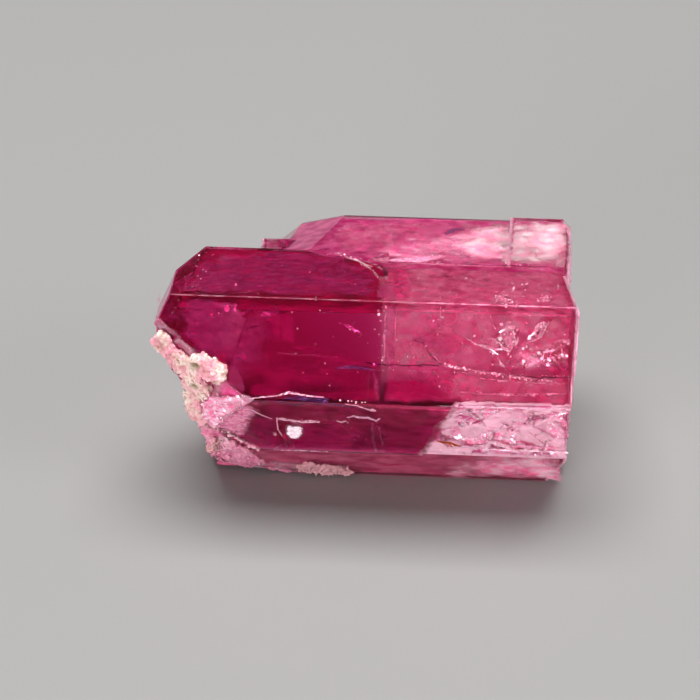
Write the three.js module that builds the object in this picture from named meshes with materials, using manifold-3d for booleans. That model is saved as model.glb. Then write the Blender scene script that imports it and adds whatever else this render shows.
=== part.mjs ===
// A loose red beryl crystal: two six-sided prisms grown side by side on one common axis, a small
// third prism beside them, and a pale crust of the host rhyolite on the broken lower left end.
// Millimetres. +X runs along the six-sided axis and +Z is up. Places below are measured from the
// axis of the front crystal; the group then stands the whole on its lowest prism face.

import * as THREE from 'three';
import { mergeVertices } from 'three/addons/utils/BufferGeometryUtils.js';
import Module from 'manifold-3d';

const wasm = await Module();
wasm.setup();

// Driving dimensions
const frontSide = 2.6; // edge of the front crystal's hexagon
const rearSide = 3.4; // edge of the larger rear crystal's hexagon
const rearAxis = { y: 1.8, z: -0.82 }; // rear crystal's axis
const smallSide = 0.42; // edge of the small third crystal's hexagon
const smallAxis = { y: 2.35, z: 1.5 };
const frontEnds = [-5.31, 5.44]; // where each crystal ends along X
const rearEnds = [-4.4, 5.24];
const smallEnds = [-2.9, -1.2];
const stepHeight = 0.07; // rise of a growth step on a prism face
const leftCrustThickness = 0.22; // how far the crust stands off the crystal
const underCrustThickness = 0.12;
const crustGap = 0.03; // clearance between the crust and the crystal under it
const cutterSize = 30; // blocks that cut flat faces are larger than the whole
const restHeight = rearAxis.z - (rearSide * Math.sqrt(3)) / 2; // the prism face that it rests on

const beryl = new THREE.MeshStandardMaterial({ color: 0xa3164e, roughness: 0.08, metalness: 0 });
const rhyolite = new THREE.MeshStandardMaterial({ color: 0xf3e2d3, roughness: 0.92, metalness: 0 });

// Flat faces of the front crystal's ends: a point on the face and the way that it faces.
const leftBreak = { through: [-5.1, -0.75, 0.31], facing: [-0.86, -0.07, -0.5] };
const frontFaces = [
  { through: [-4.92, -1.29, 2.25], facing: [-0.9, 0.03, 0.44] }, // upper left growth face
  { through: [-4.75, 0.25, 2.25], facing: [-0.88, 0.42, 0.22] }, // the next growth face, behind
  { through: [-4.9, 2.2, -0.6], facing: [-0.93, 0.3, -0.22] }, // left end, behind
  { through: [-4.79, -1.78, 1.43], facing: [-0.5, -0.85, -0.18] }, // left break, under the crust
  leftBreak, // the break beside it
  { through: [-4.13, -2.06, -0.94], facing: [-0.62, -0.14, -0.77] }, // lower left break
  { through: [-2.93, -2.55, 0.08], facing: [-0.27, -0.93, -0.26] }, // shallow flake beside it
  { through: [5.4, -1.6, 1.5], facing: [1, 0, -0.05] }, // right end
  { through: [5.38, -1.25, 2.25], facing: [0.96, 0.2, 0.2] }, // upper right corner
  { through: [5.05, 0.35, 2.25], facing: [0.7, 0.62, 0.35] }, // upper right corner, behind
];

const rearFaces = [
  { through: [-4.02, 0.2, -2.9], facing: [-0.93, -0.06, 0.36] }, // left break
  { through: [-2.05, 2.6, 1.95], facing: [-0.7, 0.2, 0.68] }, // upper left corner
  { through: [-0.85, 3.4, 2.12], facing: [-0.3, 0.12, 0.95] }, // shallow face beside it
  { through: [-4.1, -0.3, -3.0], facing: [-0.66, -0.3, -0.69] }, // lower left corner
  { through: [-2.6, 0.02, -3.6], facing: [-0.16, -0.25, -0.95] }, // worn lower left edge
  { through: [5.2, 2, 0], facing: [1, 0, 0.02] }, // right end
  { through: [5.0, 3.5, 2.12], facing: [0.75, 0.2, 0.63] }, // upper right corner
  { through: [5.36, -0.64, -2.49], facing: [0.84, -0.2, -0.5] }, // lower right corner
  { through: [4.9, 0, -3.61], facing: [0.6, -0.15, -0.79] }, // lower right corner, below
  { through: [-4.15, 3.5, -0.8], facing: [-0.8, 0.57, 0.16] }, // left break, behind
  { through: [-3.85, 4.4, -2.2], facing: [-0.6, 0.66, -0.45] }, // the break below it
  { through: [4.95, 4.4, -1.6], facing: [0.72, 0.66, -0.2] }, // right end, behind
];

// The right half of the front crystal's top has lost a shallow strip along its rear edge.
const topStrip = { from: [0.5, 0.82, 2.12], to: [6, 3, 3] };

// The lower right of the front crystal has split away along a ragged line, leaving a shallow rough
// floor. Its outline is on the face below the front edge: along X, and down from that edge.
const splitDepth = 0.07;
const splitOutline = [
  [1.55, 2.35], [1.85, 1.6], [1.9, 1.05], [2.2, 0.65], [2.3, 0.3], [2.5, -0.12], [3.5, -0.2],
  [5.8, -0.2], [5.8, 2.8], [1.5, 2.8],
];

// Flakes that lifted off the split's floor: an outline as above, the depth of the scar's middle
// below the prism face, and its tilt about the axis and across it, in radians.
const splitFlakes = [
  {
    depth: 0.12,
    tilt: [0.07, -0.08],
    outline: [[2.0, 1.4], [2.6, 1.0], [3.3, 1.25], [3.1, 2.1], [2.2, 2.3]],
  },
  {
    depth: 0.13,
    tilt: [-0.08, 0.06],
    outline: [[2.7, 0.3], [3.6, 0.15], [4.3, 0.4], [4.1, 1.1], [3.2, 1.15]],
  },
  {
    depth: 0.14,
    tilt: [0.06, 0.09],
    outline: [[3.4, 1.3], [4.2, 1.2], [4.6, 1.9], [3.9, 2.4], [3.3, 2.2]],
  },
  {
    depth: 0.15,
    tilt: [0.05, -0.07],
    outline: [[4.35, 0.3], [5.8, 0.1], [5.8, 1.5], [4.9, 1.6], [4.4, 1.05]],
  },
  {
    depth: 0.12,
    tilt: [-0.09, 0.06],
    outline: [[4.7, 1.75], [5.8, 1.65], [5.8, 2.7], [4.6, 2.5]],
  },
];

// Growth steps: low laths that run along a prism face, parallel to the axis. `angle` is how many
// degrees the face that a step is on faces up from the front horizon.
const frontSteps = [{ angle: 30, from: 0.2, to: 5.3, across: [-1.3, -0.42] }];
const rearSteps = [
  { angle: 90, from: 3.55, to: 5.5, across: [-1.7, 1.72] },
  { angle: 150, from: -1.2, to: 4.6, across: [-0.9, 0.5] },
  { angle: 150, from: 0.8, to: 5.5, across: [0.9, 1.5] },
  { angle: 210, from: -2.4, to: 3.7, across: [-1.2, -0.1] },
  { angle: 210, from: -0.6, to: 5.5, across: [0.5, 1.3] },
];

function solidFrom(geometry) {
  geometry.deleteAttribute('normal');
  geometry.deleteAttribute('uv');
  const merged = mergeVertices(geometry, 1e-5);
  const vertProperties = new Float32Array(merged.attributes.position.array);
  const triVerts = new Uint32Array(merged.index.array);
  return new wasm.Manifold(new wasm.Mesh({ numProp: 3, vertProperties, triVerts }));
}

function meshFrom(solid, name, material) {
  const { vertProperties, triVerts } = solid.getMesh();
  const geometry = new THREE.BufferGeometry();
  geometry.setAttribute('position', new THREE.BufferAttribute(vertProperties, 3));
  geometry.setIndex(new THREE.BufferAttribute(triVerts, 1));
  geometry.computeVertexNormals();
  const mesh = new THREE.Mesh(geometry, material);
  mesh.name = name;
  return mesh;
}

// A hexagonal prism along X, resting on one prism face as its crystal does.
function hexagonalPrism(side, axis, ends) {
  const outline = new THREE.Shape();
  for (let corner = 0; corner < 6; corner += 1) {
    const angle = (corner * Math.PI) / 3;
    const y = axis.y + side * Math.cos(angle);
    const z = axis.z + side * Math.sin(angle);
    if (corner === 0) outline.moveTo(y, z);
    else outline.lineTo(y, z);
  }
  outline.closePath();
  const prism = new THREE.ExtrudeGeometry(outline, { depth: ends[1] - ends[0], bevelEnabled: false });
  const alongX = new THREE.Matrix4().makeBasis(
    new THREE.Vector3(0, 1, 0),
    new THREE.Vector3(0, 0, 1),
    new THREE.Vector3(1, 0, 0),
  );
  prism.applyMatrix4(alongX);
  prism.translate(ends[0], 0, 0);
  return solidFrom(prism);
}

// Removes everything on the outer side of a flat face that stands `grow` outside its place.
function cutFlat(solid, face, grow) {
  const outward = new THREE.Vector3(...face.facing).normalize();
  const block = new THREE.BoxGeometry(cutterSize, cutterSize, cutterSize);
  block.translate(0, 0, cutterSize / 2 + grow);
  block.applyQuaternion(new THREE.Quaternion().setFromUnitVectors(new THREE.Vector3(0, 0, 1), outward));
  block.translate(...face.through);
  return solid.subtract(solidFrom(block));
}

// A low lath on a prism face, sunk a little into it so that the two join.
function growthStep(step, side, axis) {
  const sunk = 0.2;
  const lath = new THREE.BoxGeometry(
    step.to - step.from,
    stepHeight + sunk,
    step.across[1] - step.across[0],
  );
  const faceDistance = (side * Math.sqrt(3)) / 2;
  lath.translate(
    (step.from + step.to) / 2,
    -(faceDistance + (stepHeight - sunk) / 2),
    (step.across[0] + step.across[1]) / 2,
  );
  lath.rotateX(-THREE.MathUtils.degToRad(step.angle));
  lath.translate(0, axis.y, axis.z);
  return solidFrom(lath);
}

// One crystal with its growth steps, cut by its end faces, all of it grown outwards by `grow`.
function crystalSolid({ side, axis, ends, steps, faces }, grow) {
  const grownSide = side + (grow * 2) / Math.sqrt(3);
  const prism = hexagonalPrism(grownSide, axis, [ends[0] - grow, ends[1] + grow]);
  const stepped = steps.reduce((solid, step) => solid.add(growthStep(step, grownSide, axis)), prism);
  return faces.reduce((solid, face) => cutFlat(solid, face, grow), stepped);
}

function frontCrystal(grow) {
  const axis = { y: 0, z: 0 };
  const plan = { side: frontSide, axis, ends: frontEnds, steps: frontSteps, faces: frontFaces };
  return crystalSolid(plan, grow);
}

function rearCrystal(grow) {
  const plan = { side: rearSide, axis: rearAxis, ends: rearEnds, steps: rearSteps, faces: rearFaces };
  return crystalSolid(plan, grow);
}

function boxFromTo(from, to) {
  const size = to.map((far, i) => far - from[i]);
  const block = new THREE.BoxGeometry(...size);
  block.translate(...to.map((far, i) => (far + from[i]) / 2));
  return solidFrom(block);
}

// A slab that takes an outline on the split's prism face down to a depth, tilted about its middle.
function splitSlab(points, depth, tilt) {
  const outline = points.map(([along, down]) => new THREE.Vector2(along, down));
  const middle = outline.reduce((sum, point) => sum.add(point), new THREE.Vector2());
  middle.divideScalar(outline.length);
  const outside = 0.4;
  const slab = new THREE.ExtrudeGeometry(new THREE.Shape(outline), {
    depth: outside + depth,
    bevelEnabled: false,
  });
  slab.translate(-middle.x, -middle.y, -outside - depth);
  slab.rotateX(tilt[0]);
  slab.rotateY(tilt[1]);
  slab.translate(middle.x, middle.y, depth);
  const faceSlope = Math.PI / 3;
  const onFace = new THREE.Matrix4().makeBasis(
    new THREE.Vector3(1, 0, 0),
    new THREE.Vector3(0, Math.cos(faceSlope), -Math.sin(faceSlope)),
    new THREE.Vector3(0, Math.sin(faceSlope), Math.cos(faceSlope)),
  );
  onFace.setPosition(0, -frontSide, 0);
  slab.applyMatrix4(onFace);
  return solidFrom(slab);
}

// Takes the split area and its flakes off the front crystal.
function splitLowerRight(solid) {
  const split = solid.subtract(splitSlab(splitOutline, splitDepth, [0, 0]));
  return splitFlakes.reduce(
    (left, flake) => left.subtract(splitSlab(flake.outline, flake.depth, flake.tilt)),
    split,
  );
}

// All three prisms are one continuous growth, so they are joined in one solid.
function berylSolid() {
  const front = frontCrystal(0).subtract(boxFromTo(topStrip.from, topStrip.to));
  const solid = splitLowerRight(front).add(rearCrystal(0));
  return solid.add(hexagonalPrism(smallSide, smallAxis, smallEnds));
}

// A rounded lump of rock: a ball whose radius rises and falls a little with direction.
function rockLump({ at, radii, phase }) {
  const ball = new THREE.IcosahedronGeometry(1, 5);
  const place = ball.attributes.position;
  for (let i = 0; i < place.count; i += 1) {
    const x = place.getX(i);
    const y = place.getY(i);
    const z = place.getZ(i);
    const ripple = Math.sin(5 * x + phase) * Math.sin(6 * y - phase) * Math.cos(5 * z + 2 * phase);
    const scale = 1 + 0.14 * ripple + 0.05 * Math.sin(11 * x - 9 * z + phase);
    place.setXYZ(i, x * scale * radii[0], y * scale * radii[1], z * scale * radii[2]);
  }
  ball.translate(...at);
  return solidFrom(ball);
}

// Crust is rock that keeps to the crystal: lumps trimmed to a thin skin over its faces.
function crust(rock, thickness) {
  const skin = frontCrystal(thickness).add(rearCrystal(thickness));
  const core = frontCrystal(crustGap).add(rearCrystal(crustGap));
  const skinOfRock = rock.intersect(skin).subtract(core);
  const clearOfGround = { through: [0, 0, restHeight + crustGap], facing: [0, 0, -1] };
  const levelWithEnd = { through: [frontEnds[0], 0, 0], facing: [-1, 0, 0] };
  return cutFlat(cutFlat(skinOfRock, clearOfGround, 0), levelWithEnd, crustGap);
}

function rockFrom(lumps) {
  return lumps.map(rockLump).reduce((all, lump) => all.add(lump));
}

// On the left break that faces forwards, level with the break beside it
const upperCrustLumps = [
  { at: [-5.04, -1.68, 1.03], radii: [0.3, 0.38, 0.34], phase: 0.3 },
  { at: [-4.7, -1.8, 0.68], radii: [0.28, 0.34, 0.34], phase: 1.1 },
  { at: [-4.34, -1.97, 0.5], radii: [0.4, 0.42, 0.38], phase: 2.0 },
  { at: [-4.0, -2.16, 0.68], radii: [0.4, 0.42, 0.34], phase: 2.9 },
  { at: [-3.68, -2.36, 0.66], radii: [0.32, 0.36, 0.3], phase: 3.7 },
  { at: [-4.19, -1.94, 0.0], radii: [0.42, 0.42, 0.44], phase: 4.5 },
  { at: [-4.3, -1.72, -0.6], radii: [0.3, 0.4, 0.44], phase: 5.2 },
];

// Below it, in the notch between the two crystals
const lowerCrustLumps = [
  { at: [-4.22, -1.45, -1.05], radii: [0.42, 0.5, 0.42], phase: 5.6 },
  { at: [-4.15, -0.8, -1.65], radii: [0.42, 0.55, 0.6], phase: 5.2 },
  { at: [-4.05, -0.5, -2.3], radii: [0.38, 0.5, 0.5], phase: 6.0 },
];

const underCrustLumps = [
  { at: [-1.45, -0.1, -3.45], radii: [0.4, 0.32, 0.27], phase: 0.8 },
  { at: [-1.0, -0.1, -3.5], radii: [0.42, 0.3, 0.26], phase: 2.2 },
  { at: [-0.6, -0.05, -3.55], radii: [0.3, 0.28, 0.2], phase: 3.5 },
];

const model = new THREE.Group();
model.add(meshFrom(berylSolid(), 'red_beryl_crystal', beryl));
const leftRock = cutFlat(rockFrom(upperCrustLumps), leftBreak, crustGap).add(rockFrom(lowerCrustLumps));
model.add(meshFrom(crust(leftRock, leftCrustThickness), 'matrix_crust_left', rhyolite));
const underRock = rockFrom(underCrustLumps);
model.add(meshFrom(crust(underRock, underCrustThickness), 'matrix_crust_under', rhyolite));

// The origin is the bottom centre of the whole.
const box = new THREE.Box3().setFromObject(model);
const centre = box.getCenter(new THREE.Vector3());
model.position.set(-centre.x, -centre.y, -box.min.z);

export default model;
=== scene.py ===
import math
import random

import bmesh
import bpy
import numpy as np
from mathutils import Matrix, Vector, noise


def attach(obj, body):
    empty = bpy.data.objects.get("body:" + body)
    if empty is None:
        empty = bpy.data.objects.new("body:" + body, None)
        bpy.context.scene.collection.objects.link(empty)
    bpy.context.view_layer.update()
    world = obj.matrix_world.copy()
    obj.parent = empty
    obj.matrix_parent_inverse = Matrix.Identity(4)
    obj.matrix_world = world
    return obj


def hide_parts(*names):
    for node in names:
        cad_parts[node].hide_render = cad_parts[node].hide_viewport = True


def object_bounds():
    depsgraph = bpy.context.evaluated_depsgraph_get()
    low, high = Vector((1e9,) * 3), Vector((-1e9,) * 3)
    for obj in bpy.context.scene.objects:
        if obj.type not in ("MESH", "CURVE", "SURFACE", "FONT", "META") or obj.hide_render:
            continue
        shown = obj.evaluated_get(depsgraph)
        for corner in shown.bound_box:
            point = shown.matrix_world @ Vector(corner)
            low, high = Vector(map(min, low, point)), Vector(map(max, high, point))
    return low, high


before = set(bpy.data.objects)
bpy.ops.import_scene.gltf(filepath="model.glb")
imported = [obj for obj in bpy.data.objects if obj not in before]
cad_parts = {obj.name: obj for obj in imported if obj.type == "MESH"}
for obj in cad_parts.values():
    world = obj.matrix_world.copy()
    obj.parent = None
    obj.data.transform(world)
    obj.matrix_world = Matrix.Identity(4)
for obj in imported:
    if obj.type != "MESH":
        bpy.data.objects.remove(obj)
cadLow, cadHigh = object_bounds()
print("frame loaded")

mm = 0.001

# Outlines and breaks use noise whose offsets would otherwise come from the clock.
noiseSeed = 1795341947
noise.seed_set(noiseSeed)

# The two grown-together prisms. Places below are in mm from the front prism's six-sided axis.
crystalPlan = {
    "frontSide": 2.6,  # mm, edge of the front hexagon
    "rearSide": 3.4,
    "rearShift": (1.8, -0.82),  # mm, from the front axis to the rear one, along Y and Z
    "rightEnd": 5.4314,  # mm, from the origin of places to the right end
}
halfFront = crystalPlan["frontSide"] * math.sqrt(3) / 2
halfRear = crystalPlan["rearSide"] * math.sqrt(3) / 2
rearShift = Vector((0, *crystalPlan["rearShift"]))
frontAxis = Vector((
    cadHigh[0] / mm - crystalPlan["rightEnd"],
    cadHigh[1] / mm - crystalPlan["rearSide"] - rearShift.y,
    cadHigh[2] / mm - halfFront,
))

# Prism faces: how far each faces up from the front horizon, in degrees, and whose it is.
prismFaces = {
    "main": (30, False),
    "top": (90, False),
    "low": (-30, False),
    "rearTop": (90, True),
    "rearLow": (-30, True),
}


def place(spot):
    return (Vector(spot) + frontAxis) * mm


def faceAxes(face):
    turn = math.radians(prismFaces[face][0])
    outward = Vector((0, -math.cos(turn), math.sin(turn)))
    across = Vector((0, math.sin(turn), math.cos(turn)))
    return outward, across


# A place on a prism face: x along it, up across it from the front axis, depth into the crystal.
def onFace(face, x, up, depth=0.0):
    outward, across = faceAxes(face)
    reach = halfRear + rearShift.dot(outward) if prismFaces[face][1] else halfFront
    return place(Vector((x, 0, 0)) + outward * (reach - depth) + across * up)


def linearColour(hexColour):
    channels = [int(hexColour[i:i + 2], 16) / 255 for i in (1, 3, 5)]
    linear = [c / 12.92 if c <= 0.04045 else ((c + 0.055) / 1.055) ** 2.4 for c in channels]
    return (*linear, 1.0)


def addNode(tree, kind, settings=None, **links):
    node = tree.nodes.new(kind)
    for name, value in (settings or {}).items():
        if isinstance(name, int) or name in node.inputs.keys():
            node.inputs[name].default_value = value
        else:
            setattr(node, name, value)
    for name, source in links.items():
        key = int(name[1:]) if name[0] == "_" else name.replace("_", " ")
        tree.links.new(source, node.inputs[key])
    return node


def newMaterial(name):
    material = bpy.data.materials.new(name)
    material.use_nodes = True
    material.node_tree.nodes.clear()
    return material, material.node_tree


def colourRamp(tree, factor, stops):
    ramp = addNode(tree, "ShaderNodeValToRGB", Fac=factor)
    elements = ramp.color_ramp.elements
    while len(elements) < len(stops):
        elements.new(0.5)
    for element, (position, colour) in zip(elements, stops):
        element.position = position
        element.color = colour if isinstance(colour, tuple) else linearColour(colour)
    return ramp.outputs["Color"]


def newPiece(name, work, material):
    mesh = bpy.data.meshes.new(name)
    for vert in work.verts:  # nothing reaches through the ground
        vert.co.z = max(vert.co.z, 0.0)
    work.to_mesh(mesh)
    work.free()
    mesh.materials.append(material)
    piece = bpy.data.objects.new(name, mesh)
    bpy.context.scene.collection.objects.link(piece)
    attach(piece, "root")
    return piece


# The camera looks a little right of straight on, 30 degrees down.
cameraPlan = {
    "azimuth": 3.9,
    "elevation": 30.0,
    "distance": 95.0,  # mm
    "pictureWidth": 18.04,  # mm across at the crystal
    "aimRight": -0.425,  # mm, from the front axis
    "aimUp": 0.064,
    "sensor": 36.0,
}
azimuth = math.radians(cameraPlan["azimuth"])
elevation = math.radians(cameraPlan["elevation"])
viewRight = Vector((math.cos(azimuth), math.sin(azimuth), 0))
viewAhead = Vector((
    -math.sin(azimuth) * math.cos(elevation),
    math.cos(azimuth) * math.cos(elevation),
    -math.sin(elevation),
))
viewUp = viewRight.cross(viewAhead)
aim = place(viewRight * cameraPlan["aimRight"] + viewUp * cameraPlan["aimUp"])
cameraData = bpy.data.cameras.new("camera")
cameraData.sensor_width = cameraPlan["sensor"]
cameraData.lens = cameraPlan["sensor"] * cameraPlan["distance"] / cameraPlan["pictureWidth"]
cameraData.clip_start = 0.005
cameraData.clip_end = 5
camera = bpy.data.objects.new("camera", cameraData)
camera.location = aim - viewAhead * cameraPlan["distance"] * mm
camera.rotation_euler = viewAhead.to_track_quat("-Z", "Y").to_euler()
bpy.context.scene.collection.objects.link(camera)
bpy.context.scene.camera = camera
print("camera set")

# Gem beryl, grown in a rhyolite cavity: glassy prism faces with fine lines along the axis, and
# frosted, hackly breaks that scatter pale pink light.
crystalLook = {
    "ior": 1.575,  # beryl is 1.565 to 1.60
    "absorb": (0.985, 0.08, 0.5, 1),  # what is left of each colour
    "absorbDensity": 330.0,  # per metre
    "polish": 0.03,
    "frost": 0.4,  # roughness of a break
    "frostColour": "#FFCEE2",
    "hollowShadeColour": "#E0589A",  # painted shade: deeper pink in the hollows between the hackles
    "frostShare": 0.95,  # how much of a break scatters light
    "frostBack": 0.62,  # how much of the scattered light turns back
    "riserFrost": 0.7,  # how frosted the sides of the growth steps are
    "edgeWear": 0.03,  # mm, width of the worn edges
    "breakGrain": 0.07,  # mm, edge of a facet on a break
    "hackles": [(1.2, 0.5), (0.36, 0.6)],  # mm, size of a hackle, and its share of the relief
    "hackleBends": [(0.9, 0.7), (2.6, 0.18)],  # per mm and mm, how often and how far they bend
    "hackleStretch": 0.68,  # how drawn out they are along the flow, from 0 to 1
    "breakRelief": 0.13,  # mm
    "breakFlow": (0.87, -0.25, 0.43),  # the way the hackles run
    "glassyBreak": 0.5,  # how frosted the break beside the left crust is
}


def crystalMaterial():
    material, tree = newMaterial("beryl_glassy_growth_and_hackly_breaks")
    out = addNode(tree, "ShaderNodeOutputMaterial")
    coords = addNode(tree, "ShaderNodeTexCoord")
    broken = addNode(tree, "ShaderNodeAttribute", {"attribute_name": "broken"})
    mottle = addNode(tree, "ShaderNodeTexNoise", {"Scale": 1500.0, "Detail": 5.0, "Roughness": 0.65},
                     Vector=coords.outputs["Object"])
    patchy = addNode(tree, "ShaderNodeMapRange",
                     {"From Min": 0.35, "From Max": 0.65, "To Min": 0.65, "To Max": 1.0},
                     Value=mottle.outputs["Fac"])
    frosted = addNode(tree, "ShaderNodeMath", {"operation": "MULTIPLY", "use_clamp": True},
                      _0=broken.outputs["Fac"], _1=patchy.outputs["Result"])
    roughness = addNode(tree, "ShaderNodeMapRange",
                        {"To Min": crystalLook["polish"], "To Max": crystalLook["frost"]},
                        Value=frosted.outputs["Value"])
    stretch = addNode(tree, "ShaderNodeMapping", {"Scale": (0.05, 1, 1)}, Vector=coords.outputs["Object"])
    lines = addNode(tree, "ShaderNodeTexNoise", {"Scale": 9000.0, "Detail": 2.0},
                    Vector=stretch.outputs["Vector"])
    grooves = addNode(tree, "ShaderNodeBump", {"Strength": 0.04, "Distance": 0.00001},
                      Height=lines.outputs["Fac"])
    glass = addNode(tree, "ShaderNodeBsdfPrincipled",
                    {"IOR": crystalLook["ior"], "Transmission Weight": 1.0, "Base Color": (1, 1, 1, 1)},
                    Roughness=roughness.outputs["Result"], Normal=grooves.outputs["Normal"])
    # Painted shade: the frost turns a deeper pink where the hackles sink.
    hollowShade = addNode(tree, "ShaderNodeAttribute", {"attribute_name": "hollowShade"})
    frost = colourRamp(tree, hollowShade.outputs["Fac"], [(0.35, crystalLook["frostColour"]),
                                                     (0.85, crystalLook["hollowShadeColour"])])
    through = addNode(tree, "ShaderNodeBsdfTranslucent", Color=frost)
    back = addNode(tree, "ShaderNodeBsdfDiffuse", Color=frost)
    scatter = addNode(tree, "ShaderNodeMixShader", {0: crystalLook["frostBack"]},
                      _1=through.outputs[0], _2=back.outputs[0])
    share = addNode(tree, "ShaderNodeMath", {"operation": "MULTIPLY", 1: crystalLook["frostShare"]},
                    _0=frosted.outputs["Value"])
    shader = addNode(tree, "ShaderNodeMixShader", None, _0=share.outputs["Value"], _1=glass.outputs[0],
                     _2=scatter.outputs[0])
    volume = addNode(tree, "ShaderNodeVolumeAbsorption",
                     {"Color": crystalLook["absorb"], "Density": crystalLook["absorbDensity"]})
    tree.links.new(shader.outputs[0], out.inputs["Surface"])
    tree.links.new(volume.outputs[0], out.inputs["Volume"])
    return material


def cleanCadCopy(node):
    work = bmesh.new()
    work.from_mesh(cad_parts[node].data)
    bmesh.ops.remove_doubles(work, verts=work.verts, dist=0.002 * mm)
    bmesh.ops.dissolve_limit(work, angle_limit=math.radians(1.0), verts=work.verts, edges=work.edges)
    return work


# Whether a face of the crystal is a break: the split below the front edge, or an end that isn't
# one of the two growth faces at the upper left.
def isBreak(face):
    spot = face.calc_center_median() / mm - frontAxis
    normal = face.normal
    lowOut, lowAcross = faceAxes("low")
    depth = halfFront - spot.dot(lowOut)
    inSplit = 0.02 < depth < 0.4 and spot.x > 1.4 and abs(spot.dot(lowAcross)) < 1.35
    growthEnd = normal.x < -0.6 and normal.z > 0.15 and spot.z > 0.3
    rearTop = spot.y > 1.2 and normal.z > 0.5
    isEnd = abs(normal.x) > 0.25 and face.calc_area() > 0.12 * mm * mm and not growthEnd and not rearTop
    wornBelow = normal.z < -0.93 and normal.x < -0.1
    return inSplit or isEnd or wornBelow


# Whether a face is the narrow side of a growth step.
def isRiser(face):
    longest = max(e.calc_length() for e in face.edges)
    return longest > 0.4 * mm and face.calc_area() / longest < 0.09 * mm


# How far a break sinks at a spot, from 0 to about 1: tilted facets within tilted facets, bent.
def hackle(spot):
    flow = Vector(crystalLook["breakFlow"])
    bent = spot.copy()
    for often, far in crystalLook["hackleBends"]:
        bent += noise.noise_vector(spot * often) * far
    bent -= flow * bent.dot(flow) * crystalLook["hackleStretch"]
    sunk = 0.5 + noise.fractal(spot * 6, 0.8, 2.1, 4) * 0.14
    for size, share in crystalLook["hackles"]:
        distances, seeds = noise.voronoi(bent / size)
        tilt = noise.cell_vector(seeds[0] * 7.3)
        sunk += (bent / size - seeds[0]).dot(tilt) * share
        sunk += math.sin(distances[0] * 22 + tilt.x * 3) * 0.07 * share
    return max(0.0, sunk)


def refine(work, faces, longest):
    for step in range(9):
        faces = [f for f in faces if f.is_valid]
        edges = {e for f in faces for e in f.edges if e.calc_length() > longest}
        if not edges:
            break
        bmesh.ops.subdivide_edges(work, edges=list(edges), cuts=1)
        bmesh.ops.triangulate(work, faces=[f for f in work.faces if len(f.verts) > 3])
        faces = [f for f in work.faces if f.material_index == 1]


def buildCrystal():
    work = cleanCadCopy("red_beryl_crystal")
    layer = work.faces.layers.float.new("broken")
    # How deep each spot lies in a hackle hollow, which the material paints as shade.
    hollowShade = work.verts.layers.float.new("hollowShade")
    sharp = [e for e in work.edges if len(e.link_faces) == 2 and e.calc_face_angle() > math.radians(15)]
    for face in work.faces:
        face.material_index = 1 if isBreak(face) else 0
        if isRiser(face):
            face[layer] = crystalLook["riserFrost"]
    bmesh.ops.bevel(work, geom=sharp, offset=crystalLook["edgeWear"] * mm, offset_type="OFFSET", segments=2,
                    profile=0.5, affect="EDGES", clamp_overlap=True, material=-1)
    bmesh.ops.triangulate(work, faces=work.faces)
    refine(work, [f for f in work.faces if f.material_index == 1], crystalLook["breakGrain"] * mm)
    inner = [v for v in work.verts if v.link_faces and all(f.material_index == 1 for f in v.link_faces)]
    work.normal_update()
    moves = [(v, v.normal.copy(), hackle(v.co / mm - frontAxis)) for v in inner]
    for vert, normal, sunk in moves:
        vert.co -= normal * sunk * crystalLook["breakRelief"] * mm
        vert[hollowShade] = min(1.0, sunk)
    within = set(inner)
    for face in work.faces:
        face.smooth = all(v in within for v in face.verts)
        if face.material_index == 1:
            spot = face.calc_center_median() / mm - frontAxis
            face[layer] = crystalLook["glassyBreak"] if spot.x < -3 and spot.y < -1.2 else 1.0
        face.material_index = 0
    print("crystal faces", len(work.faces))
    return work


crystal = newPiece("beryl_crystal", buildCrystal(), crystalMaterial())
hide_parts("red_beryl_crystal")
print("crystal made")

# The deep colour zone: the front prism's left half, where the beryl holds more manganese. It ends
# on a plane across the axis that curls back to the left behind, and a lobe of it runs on to the
# right along the lower front.
zoneLook = {
    "absorb": (0.87, 0.045, 0.65, 1),
    "density": 1000.0,  # per metre, on top of the crystal's own
    "lobeDensity": 800.0,
    "inset": 0.045,  # mm, inside the crystal's faces
    "farLeft": -7.0,  # mm, beyond the crystal's left end
    "columns": 36,
    "end": [(-2.7, 0.5), (-1.15, 0.48), (-0.55, 0.38), (-0.2, 0.22), (0.26, 0.02), (0.56, -0.26),
            (0.8, -0.66), (1.14, -1.23), (1.44, -1.61), (2.7, -2.9)],  # mm, Y and where along X it ends
    "lobe": [(0.53, -0.74), (0.95, -0.72), (1.4, -0.64), (1.8, -0.57), (2.3, -0.76), (2.72, -0.93),
             (2.62, -1.25), (2.28, -1.5), (2.05, -1.8), (1.85, -2.0), (1.62, -2.4),
             (0.53, -2.6)],  # mm, along X and up
}


def zoneMaterial(name, density):
    material, tree = newMaterial("beryl_" + name)
    out = addNode(tree, "ShaderNodeOutputMaterial")
    clear = addNode(tree, "ShaderNodeBsdfTransparent")
    volume = addNode(tree, "ShaderNodeVolumeAbsorption", {"Color": zoneLook["absorb"], "Density": density})
    tree.links.new(clear.outputs[0], out.inputs["Surface"])
    tree.links.new(volume.outputs[0], out.inputs["Volume"])
    return material


# The CAD crystal with every face moved inwards by the same distance.
def insetCrystal(distance):
    work = cleanCadCopy("red_beryl_crystal")
    moves = []
    for vert in work.verts:
        normals = []
        for face in vert.link_faces:
            if all(face.normal.dot(other) < 0.999 for other in normals):
                normals.append(face.normal.copy())
        planes = np.array([tuple(n) for n in normals])
        shift = np.linalg.lstsq(planes, -np.ones(len(normals)), rcond=0.05)[0]
        moves.append(Vector(shift) * distance * mm)
    for vert, move in zip(work.verts, moves):
        vert.co += move
    return work


def interpolate(points, at):
    return float(np.interp(at, [p[0] for p in points], [p[1] for p in points]))


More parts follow.
